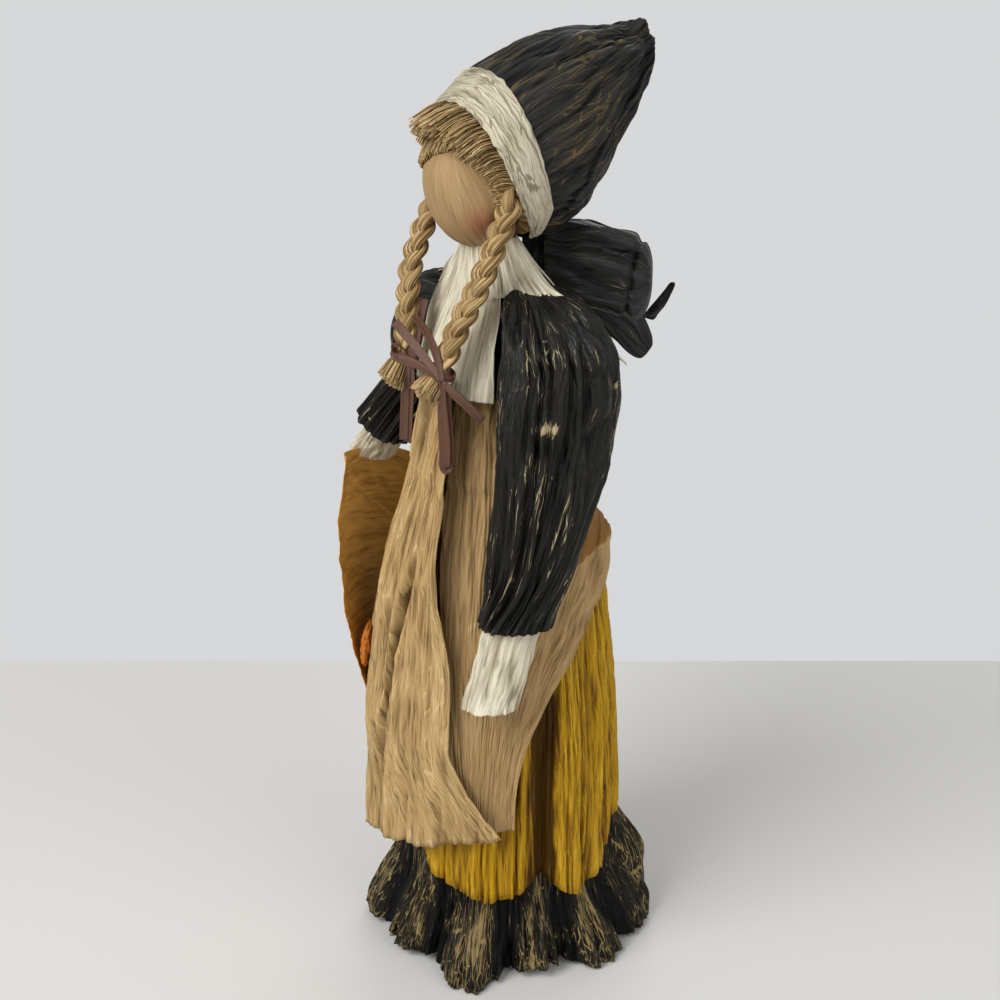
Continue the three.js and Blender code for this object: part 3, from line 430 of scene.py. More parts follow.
def through(points):
    """A smooth curve through points, as a function of a share from 0 to 1 of its spans."""
    points = [Vector(point) for point in points]
    run = [2 * points[0] - points[1], *points, 2 * points[-1] - points[-2]]
    spans = len(points) - 1

    def curve(share):
        span = min(int(share * spans), spans - 1)
        s = share * spans - span
        a, b, c, d = run[span:span + 4]
        return b + 0.5 * s * (c - a + s * (2 * a - 5 * b + 4 * c - d + s * (3 * (b - c) + d - a)))
    return curve


bodice_hem_radius = skirt_crest(BODICE_HEM) + GAP + PAPER / 2
bodice_rings = through([
    (bodice_hem_radius, bodice_hem_radius, BODICE_HEM), (28, 23, 270), (25, 16, 295), (11.5, 11.5, NECKLINE)])


def ring_radius(ring, angle):
    return ring.x * ring.y / hypot(ring.y * sin(angle), ring.x * cos(angle))


@lru_cache(maxsize=None)
def bodice_ring(tenths):
    """The bodice's ring at a height in tenths of a millimetre, found by halving."""
    low, high = 0, 1
    for _ in range(20):
        middle = (low + high) / 2
        low, high = (middle, high) if bodice_rings(middle).z < tenths / 10 else (low, middle)
    return bodice_rings(low)


def bodice_outside(angle, z):
    return ring_radius(bodice_ring(round(10 * z)), angle) + PAPER / 2


def bodice_at(u, v):
    angle = 2 * pi * (u - 0.5)
    ring = bodice_rings(v)
    gathers = rounded_folds(34 * angle + 2 * sin(3 * angle)) * smooth(0.75, 1, v)
    ridge, crest = crinkle_round(26, angle, ring.z, 0.2, 0.35)
    # Gather crests lighter and their valleys darker through the crest: painted shade.
    return around(angle, ring_radius(ring, angle) + ridge + 0.3 * gathers, ring.z), crest + 0.3 * gathers


black = paper_material(
    "black paper", ink(0.07, 0.068, 0.06), ink(0.014, 0.013, 0.012), ink(0.55, 0.46, 0.30), 0.4, 0.42)
bodice = form("bodice_paper", 260, 44, (0.16, 0.09), bodice_at)
dress(bodice, black, "doll", "bodice")


# Apron
# Two widths of tan kraft crinkled paper, gathered under the bib. One wraps the left hip, its free edge
# falling in a long slant and its upper corner raised a little and painted darker and browner, as its
# turned-over back in painted shade. The other hangs in front, over that one's edge.
APRON_TOP, APRON_HEM, APRON_EASE = 273, 70, 1.6
APRON_FOLDS, FOLD_TOP, FOLD_HEM, WRAP_FOLD = 15, 0.7, 1.9, 0.7
WRAP_FLAT, FRONT_FLAT = (0.11, 0.19), (0.125, 0.20)
WRAP_HEM_SPAN, WRAP_TOP_SPAN, WRAP_SLANT, WRAP_GROOVES = (34, 59), (6, 144), 76, (0.12, 0.3)
FRONT_RIGHT, FRONT_LEFT_HEM, FRONT_LEFT_SIDE, FRONT_LEFT_TOP = -70, 57, 32, 24
# Degrees round the doll and height of the front width's hem there
FRONT_HEM = ((-70, 52), (-40, 53), (-20, 55), (0, 61), (20, 67), (40, 73), (57, 78))


def under_apron(angle, z):
    over_bodice = bodice_outside(angle, z) if z > BODICE_HEM else 0
    over_hem = (bodice_hem_radius + PAPER / 2) * (1 - smooth(0, 39, abs(z - BODICE_HEM)))
    return max(skirt_crest(z), over_bodice, over_hem) + APRON_EASE


def wrap_at(u, v):
    degrees = mix(mix(*WRAP_HEM_SPAN, u), mix(*WRAP_TOP_SPAN, u), v ** mix(1, 2.4, u))
    z = mix(mix(APRON_HEM + 3, APRON_HEM + 9, u), APRON_TOP - WRAP_SLANT * u ** 1.8, v)
    angle = radians(degrees)
    fold = WRAP_FOLD * (1 + 0.5 * rounded_folds(1.7 * APRON_FOLDS * angle, 0.9))
    ridge, crest = crinkle(90 * u, 20, 190 * v, 0.5 * v, 0.15 + 0.3 * v)
    groove = sum(tent(u, spot, 0.035) for spot in WRAP_GROOVES) * smooth(0.5, 0.7, v)
    edge = 1.5 * smooth(0.93, 1, u) * smooth(0.9, 0.6, v) + 2 * smooth(0.9, 1, u) * smooth(0.75, 0.9, v)
    radius = under_apron(angle, z) + GAP + PAPER / 2 + fold + ridge + edge - 1.2 * groove
    # The grooves are darkened through the crest: painted shade in them.
    return around(angle, radius, z), mix(0.35, 0.8, v) * crest + 0.2 - 1.2 * groove


def front_floor(angle, z):
    return under_apron(angle, z) + 3 * GAP + 2 * WRAP_FOLD + PAPER


def front_depth(z):
    return mix(FOLD_HEM, FOLD_TOP, (z - APRON_HEM) / (APRON_TOP - APRON_HEM))


def front_outside(angle, z):
    return front_floor(angle, z) + 2 * front_depth(z) + PAPER


def front_at(u, v):
    hem = profile(FRONT_HEM, mix(FRONT_RIGHT, FRONT_LEFT_HEM, u)) + 0.5 * noise.noise((40 * u, 0, 0))
    z = mix(hem, APRON_TOP, v)
    left_edge = mix(FRONT_LEFT_HEM, FRONT_LEFT_SIDE, smooth(66, 118, z))
    left_edge = mix(left_edge, FRONT_LEFT_TOP, smooth(143, 203, z))
    degrees = mix(FRONT_RIGHT, left_edge, u)
    angle = radians(degrees)
    fold = rounded_folds(APRON_FOLDS * angle + 0.5 * sin(4 * angle) + 0.5 * sin(z / 37), 0.85)
    ridge, crest = crinkle(52 * angle, 60, z * 0.7, 0.75, 0.55)
    beside = degrees + 1 + 0.17 * (165 - z)
    low_end = smooth(88, 120, z)
    groove = max(0, 1 - (beside / 3.5 if beside > 0 else -beside / 2.2)) * low_end * smooth(205, 165, z)
    ledge = 2.4 * smooth(1, -3, beside) * low_end * smooth(215, 175, z)
    turned = 6.5 * smooth(0.84, 1, u) * smooth(140, 200, z) + 2 * smooth(0.9, 1, u)
    ridge *= 1 - 0.85 * groove ** 0.5
    radius = front_floor(angle, z) + PAPER / 2 + front_depth(z) * (1 + fold) + ridge
    radius += turned + ledge - 5 * groove
    # The groove is darkened towards black and the folds' valleys darker, through the crest: painted shade in
    # the fold.
    return around(angle, radius, z), crest + 0.3 * fold + 0.15 - 2.2 * groove


kraft = paper_material(
    "kraft paper", ink(0.71, 0.59, 0.40), ink(0.48, 0.375, 0.225), ink(0.79, 0.68, 0.49), 0.5, 0.62)
# A slightly darker copy of the kraft paper for the width round the side: painted shade.
kraft_shaded_side = paper_material(
    "kraft paper shaded side", ink(0.68, 0.56, 0.385), ink(0.46, 0.36, 0.22), ink(0.76, 0.65, 0.47), 0.4, 0.62,
    0.0002, deep=0.4)
tree = kraft_shaded_side.node_tree
shader = tree.nodes["Principled BSDF"]
bare = shader.inputs["Base Color"].links[0].from_socket
# The turned corner is multiplied darker and browner: the paper's back there, in painted shade.
corner = ramped(tree, add_node(tree, "Attribute", attribute_name="corner").outputs["Fac"], 0.0, 0.012)
corner_back_in_shade = blended(tree, 1.0, bare, ink(0.80, 0.69, 0.52), "MULTIPLY")
tree.links.new(blended(tree, corner, bare, corner_back_in_shade), shader.inputs["Base Color"])
wrap = form("apron_left_wrap_paper", 230, 110, WRAP_FLAT, wrap_at)
dress(wrap, kraft_shaded_side, "doll", "apron_left_wrap")
corner = wrap.data.attributes.new("corner", "FLOAT", "POINT")
for loop in wrap.data.loops:
    spot = wrap.data.uv_layers["UVMap"].data[loop.index].uv
    across, up = spot.x / WRAP_FLAT[0], spot.y / WRAP_FLAT[1]
    corner.data[loop.vertex_index].value = min(up - across + 0.03, across - 0.6)
apron = form("apron_front_paper", 310, 90, FRONT_FLAT, front_at)
dress(apron, kraft, "doll", "apron_front")


# Lifted corner of the apron and what it holds
# The front width's right corner is drawn up by the right hand into a pouch, its back showing in a brighter
# golden kraft that is partly painted light.
# Low in it lies a crumple of orange paper.
LIFT_SPAN, LIFT_BULGE, LIFT_FOOT, LIFT_LIP, LIFT_FALL = (-34, -86), 20, 115, 224, 18
# Share up the pouch and share of the bulge there
LIFT_RISE = ((0, 0), (0.15, 0.3), (0.3, 0.56), (0.55, 0.9), (0.75, 1.14), (1, 1.3))
POUCH_FLAT = (0.07, 0.105)
FILL_LOW, FILL_HALF, FILL_TURN = 125, 11, -41


def lifted_at(u, v):
    angle = radians(mix(*LIFT_SPAN, u))
    z = mix(LIFT_FOOT, LIFT_LIP - LIFT_FALL * u * u, v)
    bulge = LIFT_BULGE * profile(LIFT_RISE, v) * (1 - 0.75 * u ** 1.5)
    return around(angle, front_outside(angle, z) + GAP + bulge + PAPER / 2, z)


def pouch_at(u, v):
    point = lifted_at(u, v)
    outward = Vector((point.x, point.y, 0)).normalized()
    ridge, crest = crinkle(50 * v + 8 * u, 90, 60 * u, 0.45 * smooth(0, 0.2, v), 0.2)
    flat = smooth(1, 0.85, u) * 0.8 + 0.2
    lip = 1.5 * smooth(0.94, 1, v) * sin(14 * u)
    return point + outward * (ridge * flat + lip) + Vector((0, 0, 4 * smooth(0.8, 1, v))), 0.8 * crest + 0.15


def lumps(turn, count, along, seed=0):
    """Rounded dents, about so many round a closed piece."""
    return noise.noise((count * cos(turn) + seed, count * sin(turn), along))


def filling_at(u, v):
    turn = 2 * pi * u
    girth = sin(pi * v)
    angle = radians(FILL_TURN + 9 * girth * cos(turn))
    z = FILL_LOW + FILL_HALF * (1 - cos(pi * v))
    crumple = lumps(turn, 3 * girth, z / 4)
    depth = 2.6 * (1 + 0.96 * girth * sin(turn)) + 1.1 * girth * (1 - 2 * abs(crumple))
    return around(angle, front_outside(angle, z) + GAP + depth, z), 1 - 3 * abs(crumple)


# A brighter, more golden copy of the kraft paper for the lifted back: its own golden back, painted lighter
# against the shade it hangs in.
pouch_kraft_lit = paper_material(
    "kraft paper pouch painted lighter", ink(0.88, 0.69, 0.36), ink(0.66, 0.48, 0.20), ink(0.93, 0.77, 0.47), 0.4, 0.6,
    0.00025, deep=0.3)
pouch = form("apron_lifted_paper", 130, 190, POUCH_FLAT, pouch_at, across=True)
dress(pouch, pouch_kraft_lit, "doll", "apron_lifted")
orange = paper_material(
    "orange paper", ink(0.78, 0.46, 0.18), ink(0.52, 0.25, 0.08), ink(0.88, 0.64, 0.38), 0.5, 0.6)
filling = form("pouch_filling_paper", 90, 60, (0.05, 0.03), filling_at)
dress(filling, orange, "doll", "pouch_filling")


# Face
# Tan crinkled paper drawn smooth over the head ball, gathered under the chin and wired round the neck.
# The face is left blank, with only a streaky pink-brown blush on each cheek.
HEAD_RADIUS, HEAD_HALF_HEIGHT, NECK_RADIUS, NECK_GATHER = 18.5, 23, 5.5, 8
HEAD_LEAN, NECK_REACH, NECK_SHARE = radians(22), 42, 0.12
BLUSH_PLACE, BLUSH_SIZE = (0.0150, -0.0220, 0.334), 0.012
head = Vector((0, -sin(HEAD_LEAN), cos(HEAD_LEAN))) * NECK_REACH + Vector((0, 0, CONE_HEIGHT))
leaning = Matrix.Rotation(HEAD_LEAN, 3, "X")


def brow_at(turn, lift, stand=0):
    """A point of the paper over the head, by angles round it and up from its middle; its brow is full."""
    radius = HEAD_RADIUS * cos(lift) ** (0.72 if lift > 0 else 1) + stand * cos(lift)
    return leaning @ around(turn, radius, (HEAD_HALF_HEIGHT + stand) * sin(lift)) + head


def face_at(u, v):
    turn = 2 * pi * (u - 0.5)
    share = (v - NECK_SHARE) / (1 - NECK_SHARE)
    if share < 0:
        foot = -HEAD_HALF_HEIGHT - NECK_GATHER
        point = leaning @ around(turn, NECK_RADIUS, mix(foot, -HEAD_HALF_HEIGHT, v / NECK_SHARE)) + head
        lift = -pi / 2
    else:
        lift = pi * (share - 0.5)
        point = brow_at(turn, lift)
        neck = NECK_RADIUS * (1 - smooth(0, 0.25, share))
        if HEAD_RADIUS * cos(lift) < neck:
            point = leaning @ around(turn, neck, HEAD_HALF_HEIGHT * sin(lift)) + head
    gather = smooth(-0.3, -1.0, lift)
    pleat = rounded_folds(24 * turn + 2 * sin(3 * turn), 0.8)
    ridge, crest = crinkle_round(18, turn, 40 * v, 0.06, 0.1)
    out = leaning @ around(turn, 1, 0)
    grown = 0.55 * gather * pleat + (ridge if share < 0.97 else 0)
    # Gathered pleats under the chin are lighter on their crests and darker between, through the crest:
    # painted shade.
    return point + out * grown, 0.6 * crest + 0.6 * gather * pleat + 0.2


skin = paper_material(
    "face paper", ink(0.64, 0.53, 0.38), ink(0.54, 0.435, 0.30), ink(0.69, 0.58, 0.43), 0.35, 0.7,
    0.00012, deep=0.3)
tree = skin.node_tree
place = add_node(tree, "TexCoord").outputs["Object"]
mirrored = add_node(tree, "VectorMath", {0: place}, operation="ABSOLUTE").outputs[0]
sides = add_node(tree, "SeparateXYZ", {0: mirrored}).outputs["X"]
apart = add_node(tree, "SeparateXYZ", {0: place}).outputs
cheek = add_node(tree, "CombineXYZ", {"X": sides, "Y": apart["Y"], "Z": apart["Z"]}).outputs[0]
reach = add_node(tree, "VectorMath", {0: cheek, 1: BLUSH_PLACE}, operation="DISTANCE").outputs["Value"]
rub = speckle(tree, place, (700, 700, 110))
blush = ramped(tree, worked(tree, "MULTIPLY_ADD", rub, 0.008, reach), BLUSH_SIZE + 0.004, 0.003)
shader = tree.nodes["Principled BSDF"]
bare = shader.inputs["Base Color"].links[0].from_socket
blush = worked(tree, "MULTIPLY", blush, 0.7)
tree.links.new(blended(tree, blush, bare, ink(0.60, 0.33, 0.26)), shader.inputs["Base Color"])
face = form("face_paper", 220, 100, (0.115, 0.085), face_at)
dress(face, skin, "doll", "face_wrap")


# Bonnet
# A pointed hood of black crinkled paper, its folds gathered at the peak and its lower edges hemmed and
# lapped. A band of ivory paper, folded into a strip, is glued round its mouth.
BONNET_SEAT = head + Vector((0, 1.2, -3))
SIDE_WRAP, CROWN_MOUTH, BAND_END, BAND_DEPTH = 6, 0.03, 145, 0.155
LAP_STEP, HEM_STEP, BAND_FLAT, BAND_WALL = 3.6, 2, (0.165, 0.017), 0.7 * MM
bonnet_top = through([
    (29, -9.5, 37), (30, 8.5, 52), (27.5, 32.5, 61), (20.5, 54.5, 63), (12.5, 73, 60.5), (0, 85, 54)])
bonnet_bottom = through([
    (0, 18.5, -19), (0, 29.5, -17), (0, 41.5, -10), (0, 56.5, 7), (0, 73, 30), (0, 85, 54)])
# Share from mouth to peak and share round from the top, of the lapped fold along the hood
# and of the inner line of the hem along its lower edge
HEM_LINE = ((0, 0.4), (0.25, 0.365), (0.4, 0.315), (0.5, 0.29), (0.75, 0.27), (1, 0.25))
LAP_LINE = ((0, 0.085), (0.17, 0.092), (0.42, 0.117), (0.6, 0.125), (0.85, 0.1), (1, 0.08))


def bonnet_loop(k, u, inset):
    """A point of the hood: k from mouth to peak, u once round from the top, inset under its surface."""
    top, bottom = bonnet_top(k), bonnet_bottom(k)
    half_width, top.x = top.x, 0
    middle = (top + bottom) / 2
    up = top - middle
    shrink = max(0, 1 - inset / max(up.length, inset, 1e-6))
    turn = 2 * pi * u
    wrap = SIDE_WRAP * sin(turn) ** 2 * (1 - smooth(0, 0.4, k))
    side = max(0, half_width - inset) * sin(turn)
    return middle + up * shrink * cos(turn) + Vector((side, -wrap, 0)) + BONNET_SEAT


def crown_at(u, v):
    u -= 0.5
    k = mix(CROWN_MOUTH, 1, v)
    turn = 2 * pi * u
    size = 1 - smooth(0.55, 1, k)
    ridge, crest = crinkle_round(27, turn, 80 * k, mix(0.12, 1.2, size), mix(0.15, 0.5, size))
    beyond = abs(u) - profile(LAP_LINE, k)
    fading = smooth(0.96, 0.72, k)
    lap = LAP_STEP * fading * (smooth(0.1, 0.012, beyond) if beyond > 0 else smooth(-0.008, 0, beyond))
    hem = abs(u) - profile(HEM_LINE, k)
    strip = HEM_STEP * fading * smooth(-0.006, 0.004, hem)
    crumple = 3 * lumps(turn, 2.6, 9 * k) * smooth(0.6, 0.8, k) * smooth(1, 0.88, k)
    dent = 2.6 * abs(lumps(turn, 2.2, 5 * k)) * smooth(0.15, 0.5, k)
    blunt = 6.5 * swell(k, 0.92, 0.08) - 1.5 * smooth(0.2, 0.1, abs(u))
    grown = ridge - 0.4 + dent + crumple + lap + strip + blunt
    grown = grown * smooth(0.1, 0.24, k) - 0.7 * smooth(0.22, 0.14, k)
    worn = swell(k, 0.26, 0.1) * swell(u, 0.2, 0.08)
    # Lighter lines on the lapped fold's edge and the hem strip's edge are painted highlights, and the dark
    # lines at their feet are painted shade; the worn patch near the band is wear.
    edges = tent(beyond, 0.006, 0.009) + tent(hem, 0.007, 0.007)
    crest += 1.1 * worn + 1.1 * edges - 2 * tent(beyond, -0.006, 0.01) - 1.6 * tent(hem, -0.004, 0.008)
    return bonnet_loop(k, u, -grown * sqrt(min(1, 16 * (1 - k)))), crest


def band_at(u, v):
    ridge, crest = crinkle(20 * v, 30, 120 * u, 0.2, 0.3)
    ragged = noise.noise((40 * u, 2 * v, 3)) * (1 if 0.1 < v < 0.9 else 1.6)
    k = mix(0, BAND_DEPTH, v) * mix(0.6, 1, smooth(0, 0.09, min(u, 1 - u))) + 0.004 * ragged
    return bonnet_loop(k, mix(-BAND_END, BAND_END, u) / 360, -1.2 - ridge), crest


bonnet_black = paper_material(
    "bonnet paper", ink(0.185, 0.18, 0.168), ink(0.035, 0.035, 0.036), ink(0.38, 0.32, 0.20), 0.52, 0.45)
crown = form("bonnet_crown_paper", 370, 110, (0.3, 0.14), crown_at)
dress(crown, bonnet_black, "doll", "bonnet_crown")
ivory = paper_material(
    "ivory paper", ink(0.85, 0.82, 0.73), ink(0.61, 0.57, 0.47), ink(0.93, 0.91, 0.85), 0.45, 0.5,
    0.0003, deep=0.6)
turned_ivory = paper_material(
    "ivory band paper", ink(0.78, 0.75, 0.66), ink(0.54, 0.50, 0.41), ink(0.47, 0.43, 0.34), 0.7, 0.5, 0.0003)
band = form("bonnet_band_paper", 240, 44, BAND_FLAT, band_at, BAND_WALL, across=True)
dress(band, turned_ivory, "doll", "bonnet_band")


# Hair
# A pad of straw fibre fills the hood's mouth round the face, and a cut fringe of straws is glued under
# the band in two layers: one stands out like a visor and one lies down over the brow.
HAIR_EASE, FRINGE_END, BROW_END, FRINGE_LENGTH, VISOR_STRAWS, BROW_STRAWS = 0.8, 112, 101, 20.5, 850, 850
STRAW_WIDTH, STRAW_WALL = 0.62, 0.22 * MM
# Share from the hood's mouth to its peak and inset under it, of the pad's outer rings; the last one closes
HAIR_LOOPS = ((CROWN_MOUTH, 2.1), (0.1, 3), (0.19, 5), (0.19, 1e3))
HAIR_INSIDE, HAIR_STEP = 4, 20  # rings behind the head ball, and degrees from one to the next
# Degrees round the head from its front to its left and up from its middle, of the fringe's ends on the brow
BROW_LINE = ((-102, 10), (-60, 34), (-30, 54), (0, 70), (60, 78), (75, 71), (84, 44), (102, 14))


def straws(name, paths, width, steps=5):
    """Flat cut straws, each along a curve, with its broad side turned to a given way."""
    bm = bmesh.new()
    uv = bm.loops.layers.uv.new("UVMap")
    crest = bm.verts.layers.float.new("crest")
    for number, (curve, facing) in enumerate(paths):
        blade = bmesh.ops.create_grid(bm, x_segments=1, y_segments=steps, size=0.5)["verts"]
        for vert in blade:
            u, v = vert.co.x, vert.co.y + 0.5
            for loop in vert.link_loops:
                loop[uv].uv = (0.0013 * (number + u), 0.02 * v)
            way = (curve(min(1, v + 0.05)) - curve(max(0, v - 0.05))).normalized()
            across = u * width * mix(0.7, 1.2, number % 7 / 6) * way.cross(facing).normalized()
            vert.co = (curve(v) + across) * MM
            vert[crest] = 0.55 * sin(5.1 * number) + 0.9 * v - 0.45
    return piece_from(bm, name, STRAW_WALL)


def hair_inside(turn, degrees):
    back = radians(degrees * (1 - 0.24 * ((1 - cos(turn)) / 2) ** 2))
    radius, high = HEAD_RADIUS + HAIR_EASE, HEAD_HALF_HEIGHT + HAIR_EASE
    point = Vector((radius * sin(back) * sin(turn), radius * cos(back), high * sin(back) * cos(turn)))
    return leaning @ point + head


def hair_at(u, v):
    u -= 0.5
    turn = 2 * pi * u
    row = v * (HAIR_INSIDE + len(HAIR_LOOPS))
    if row <= HAIR_INSIDE:
        point = hair_inside(turn, HAIR_STEP * row)
    else:
        inner = hair_inside(turn, HAIR_STEP * HAIR_INSIDE)
        stops = [inner, *(bonnet_loop(k, u, inset) for k, inset in HAIR_LOOPS)]
        below = min(int(row - HAIR_INSIDE), len(HAIR_LOOPS) - 1)
        point = stops[below].lerp(stops[below + 1], row - HAIR_INSIDE - below)
    strand = lumps(turn, 22, row / 2)
    lift = 0.8 * strand * smooth(3, 4.2, row) * smooth(7.8, 5, row)
    return point + Vector((0, -lift, 0)), 2 * strand


def visor_path(turn, length, inset, droop):
    beside = sin(2 * pi * turn) ** 2
    start = bonnet_loop(CROWN_MOUTH, turn, inset)
    reach = Vector((0, -mix(0.95, 0.25, beside) * length, 0))
    end = bonnet_loop(0, turn, inset + mix(0.1, 0.3, beside) * length + droop) + reach
    return through([start, start.lerp(end, 0.5) + Vector((0, -1.0, 1.0)), end])


def brow_path(degrees, lift, inset, stand):
    tip = brow_at(radians(degrees), radians(lift), stand)
    toward = leaning.transposed() @ (tip - head)
    start = bonnet_loop(0.04, atan2(toward.x, toward.z) / (2 * pi), inset)
    over = brow_at(radians(degrees), radians(min(85, lift + 14)), stand + 2.5)
    return through([start, start.lerp(over, 0.6), tip.lerp(over, 0.35), tip])


straw = paper_material(
    "straw", ink(0.71, 0.60, 0.42), ink(0.44, 0.34, 0.20), ink(0.84, 0.75, 0.57), 0.5, 0.6, 0.00015, deep=0.4)
hair = form("hair_cap_straw", 240, 48, (0.15, 0.08), hair_at, 0)
dress(hair, straw, "doll", "hair_cap")
draw = random.Random(11)
blades = []
for number in range(VISOR_STRAWS):
    turn = mix(-FRINGE_END, FRINGE_END, (number + draw.random()) / VISOR_STRAWS) / 360
    length = FRINGE_LENGTH * draw.uniform(0.7, 1.05)
    facing = Vector((draw.uniform(-0.6, 0.6), -0.3, 1)).normalized()
    path = visor_path(turn + draw.uniform(-0.008, 0.008), length, draw.uniform(0.4, 3.4), draw.uniform(0, 8))
    blades.append((path, facing))
for number in range(BROW_STRAWS):
    degrees = draw.choice((-1, 1)) * BROW_END * draw.random() ** 0.65
    lift = profile(BROW_LINE, degrees) + draw.uniform(-6, 5)
    facing = (brow_at(radians(degrees), radians(lift)) - head).normalized()
    facing += Vector((draw.uniform(-0.5, 0.5), draw.uniform(-0.5, 0.5), 0))
    blades.append((brow_path(degrees, lift, draw.uniform(1.5, 4.5), draw.uniform(0.5, 2.4)), facing))
fringe = straws("hair_fringe_straw", blades, STRAW_WIDTH)
dress(fringe, straw, "doll", "hair_fringe")


# Plaits
# Three bundles of straw fibre are plaited from behind each cheek down to the chest, and a cut tuft
# of straws ends each plait below its ribbon.
BRAID_PERIOD, BRAID_SWING, BRAID_LIFT = 26, 2.9, 1.7
STRAND_HALF_WIDTH, STRAND_HALF_THICK = 3.3, 1.8
TUFT_LENGTH, TUFT_STRAWS, TUFT_STRAW_WIDTH = 11, 190, 0.8
# From the bonnet's seat, the middle of each plait
BRAID_PATHS = {
    "left": (
        (18.5, -0.8, 11.1), (23.6, -0.5, 0), (24.8, -7, -12), (23, -14, -29), (20, -23.5, -48),
        (18, -29.5, -65)),
    "right": (
        (-18.5, -0.8, 11.1), (-22.9, -0.5, 0), (-23.6, -8.5, -13), (-22, -17, -31), (-16.5, -23, -50),
        (-13.5, -26.5, -67)),
}


def even_pace(curve, steps=240):
    """The same curve by share of its length, and that length."""
    marks = [curve(step / steps) for step in range(steps + 1)]
    lengths = [0]
    for first, second in zip(marks, marks[1:]):
        lengths.append(lengths[-1] + (second - first).length)

    def paced(share):
        goal = share * lengths[-1]
        low = next((i for i in range(steps) if lengths[i + 1] >= goal), steps - 1)
        return marks[low].lerp(marks[low + 1], (goal - lengths[low]) / (lengths[low + 1] - lengths[low]))
    return paced, lengths[-1]


def strand_surface(path, length, phase):
    """One strand of a plait: it swings across the plait's path and over the other two."""
    @lru_cache(maxsize=None)
    def middle(share):
        share = min(1, max(0, share))
        turn = 2 * pi * length / BRAID_PERIOD * share + phase
        way = (path(min(1, share + 0.01)) - path(max(0, share - 0.01))).normalized()
        forward = Vector((1, 0, 0)).cross(way).normalized()
        drawn = 1 - 0.4 * smooth(0.84, 0.97, share)
        across = way.cross(forward) * BRAID_SWING * drawn * sin(turn)
        return path(share) + across + forward * BRAID_LIFT * drawn * sin(2 * turn), forward

    @lru_cache(maxsize=None)
    def section(share):
        point, forward = middle(share)
        way = (middle(share + 0.008)[0] - middle(share - 0.008)[0]).normalized()
        beside = way.cross(forward).normalized()
        closing = 1 - smooth(0, 0.03, min(share, 1 - share))
        girth = sqrt(max(0, 1 - closing ** 2)) * (1 - 0.3 * smooth(0.84, 0.97, share))
        return point, beside * STRAND_HALF_WIDTH * girth, beside.cross(way) * STRAND_HALF_THICK * girth

    def place(u, v):
        turn = 2 * pi * u
        point, beside, over = section(v)
        groove, fine = lumps(turn, 5, 5 * v + phase), lumps(turn, 13, 9 * v + phase + 30)
        grown = 1 + 0.1 * groove + 0.06 * fine
        # Where a strand meets its neighbours its edges are darkened: painted shade between the strands.
        crest = 1.1 * groove + 1.3 * fine - 0.9 * max(0, cos(2 * turn))
        return point + (beside * cos(turn) + over * sin(turn)) * grown, crest
    return place


braids = {}
for side, points in BRAID_PATHS.items():
    path, length = even_pace(through([Vector(point) + BONNET_SEAT for point in points]))
    way = (path(1) - path(0.98)).normalized()
    braids[side] = path, way
    for number in range(3):
        node = f"{side}_braid_strand_{number + 1}"
        surface = strand_surface(path, length, 2 * pi * number / 3)
        strand = form(node + "_straw", 56, 150, (0.016, 0.1), surface, 0)
        dress(strand, straw, side + "_braid", node)
    tuft_way = (way + Vector((0, -0.8, 0))).normalized()
    forward = Vector((1, 0, 0)).cross(tuft_way).normalized()
    blades = []
    for number in range(TUFT_STRAWS):
        turn, out = draw.uniform(0, 2 * pi), sqrt(draw.random())
        spread = Vector((1, 0, 0)) * cos(turn) + forward * sin(turn)
        reach = TUFT_LENGTH * draw.uniform(0.8, 1.1) * (1 - 0.15 * out)
        start = path(1) - way * 3 + spread * 2.6 * out
        end = path(1) + tuft_way * reach + spread * 6.5 * out
        curve = through([start, start.lerp(end, 0.45) + spread * 0.6, end])
        blades.append((curve, spread.cross(tuft_way) + spread))
    tuft = straws(side + "_braid_tuft_straw", blades, TUFT_STRAW_WIDTH, 4)
    dress(tuft, straw, side + "_braid", side + "_braid_tuft")


# Ribbon bows
# A narrow brown satin ribbon is wound twice round the end of each plait and tied in a loose bow,
# with its cut ends standing up and out and a loop hanging down.
RIBBON_WIDTH, RIBBON_WALL = 3.8, 0.3 * MM
WOUND_WIDTH, WOUND_HALF_WIDTH, WOUND_HALF_DEPTH = 3.2, 4.4, 3.9
BOW_FACING = Vector((0.75, -0.6, 0.3))
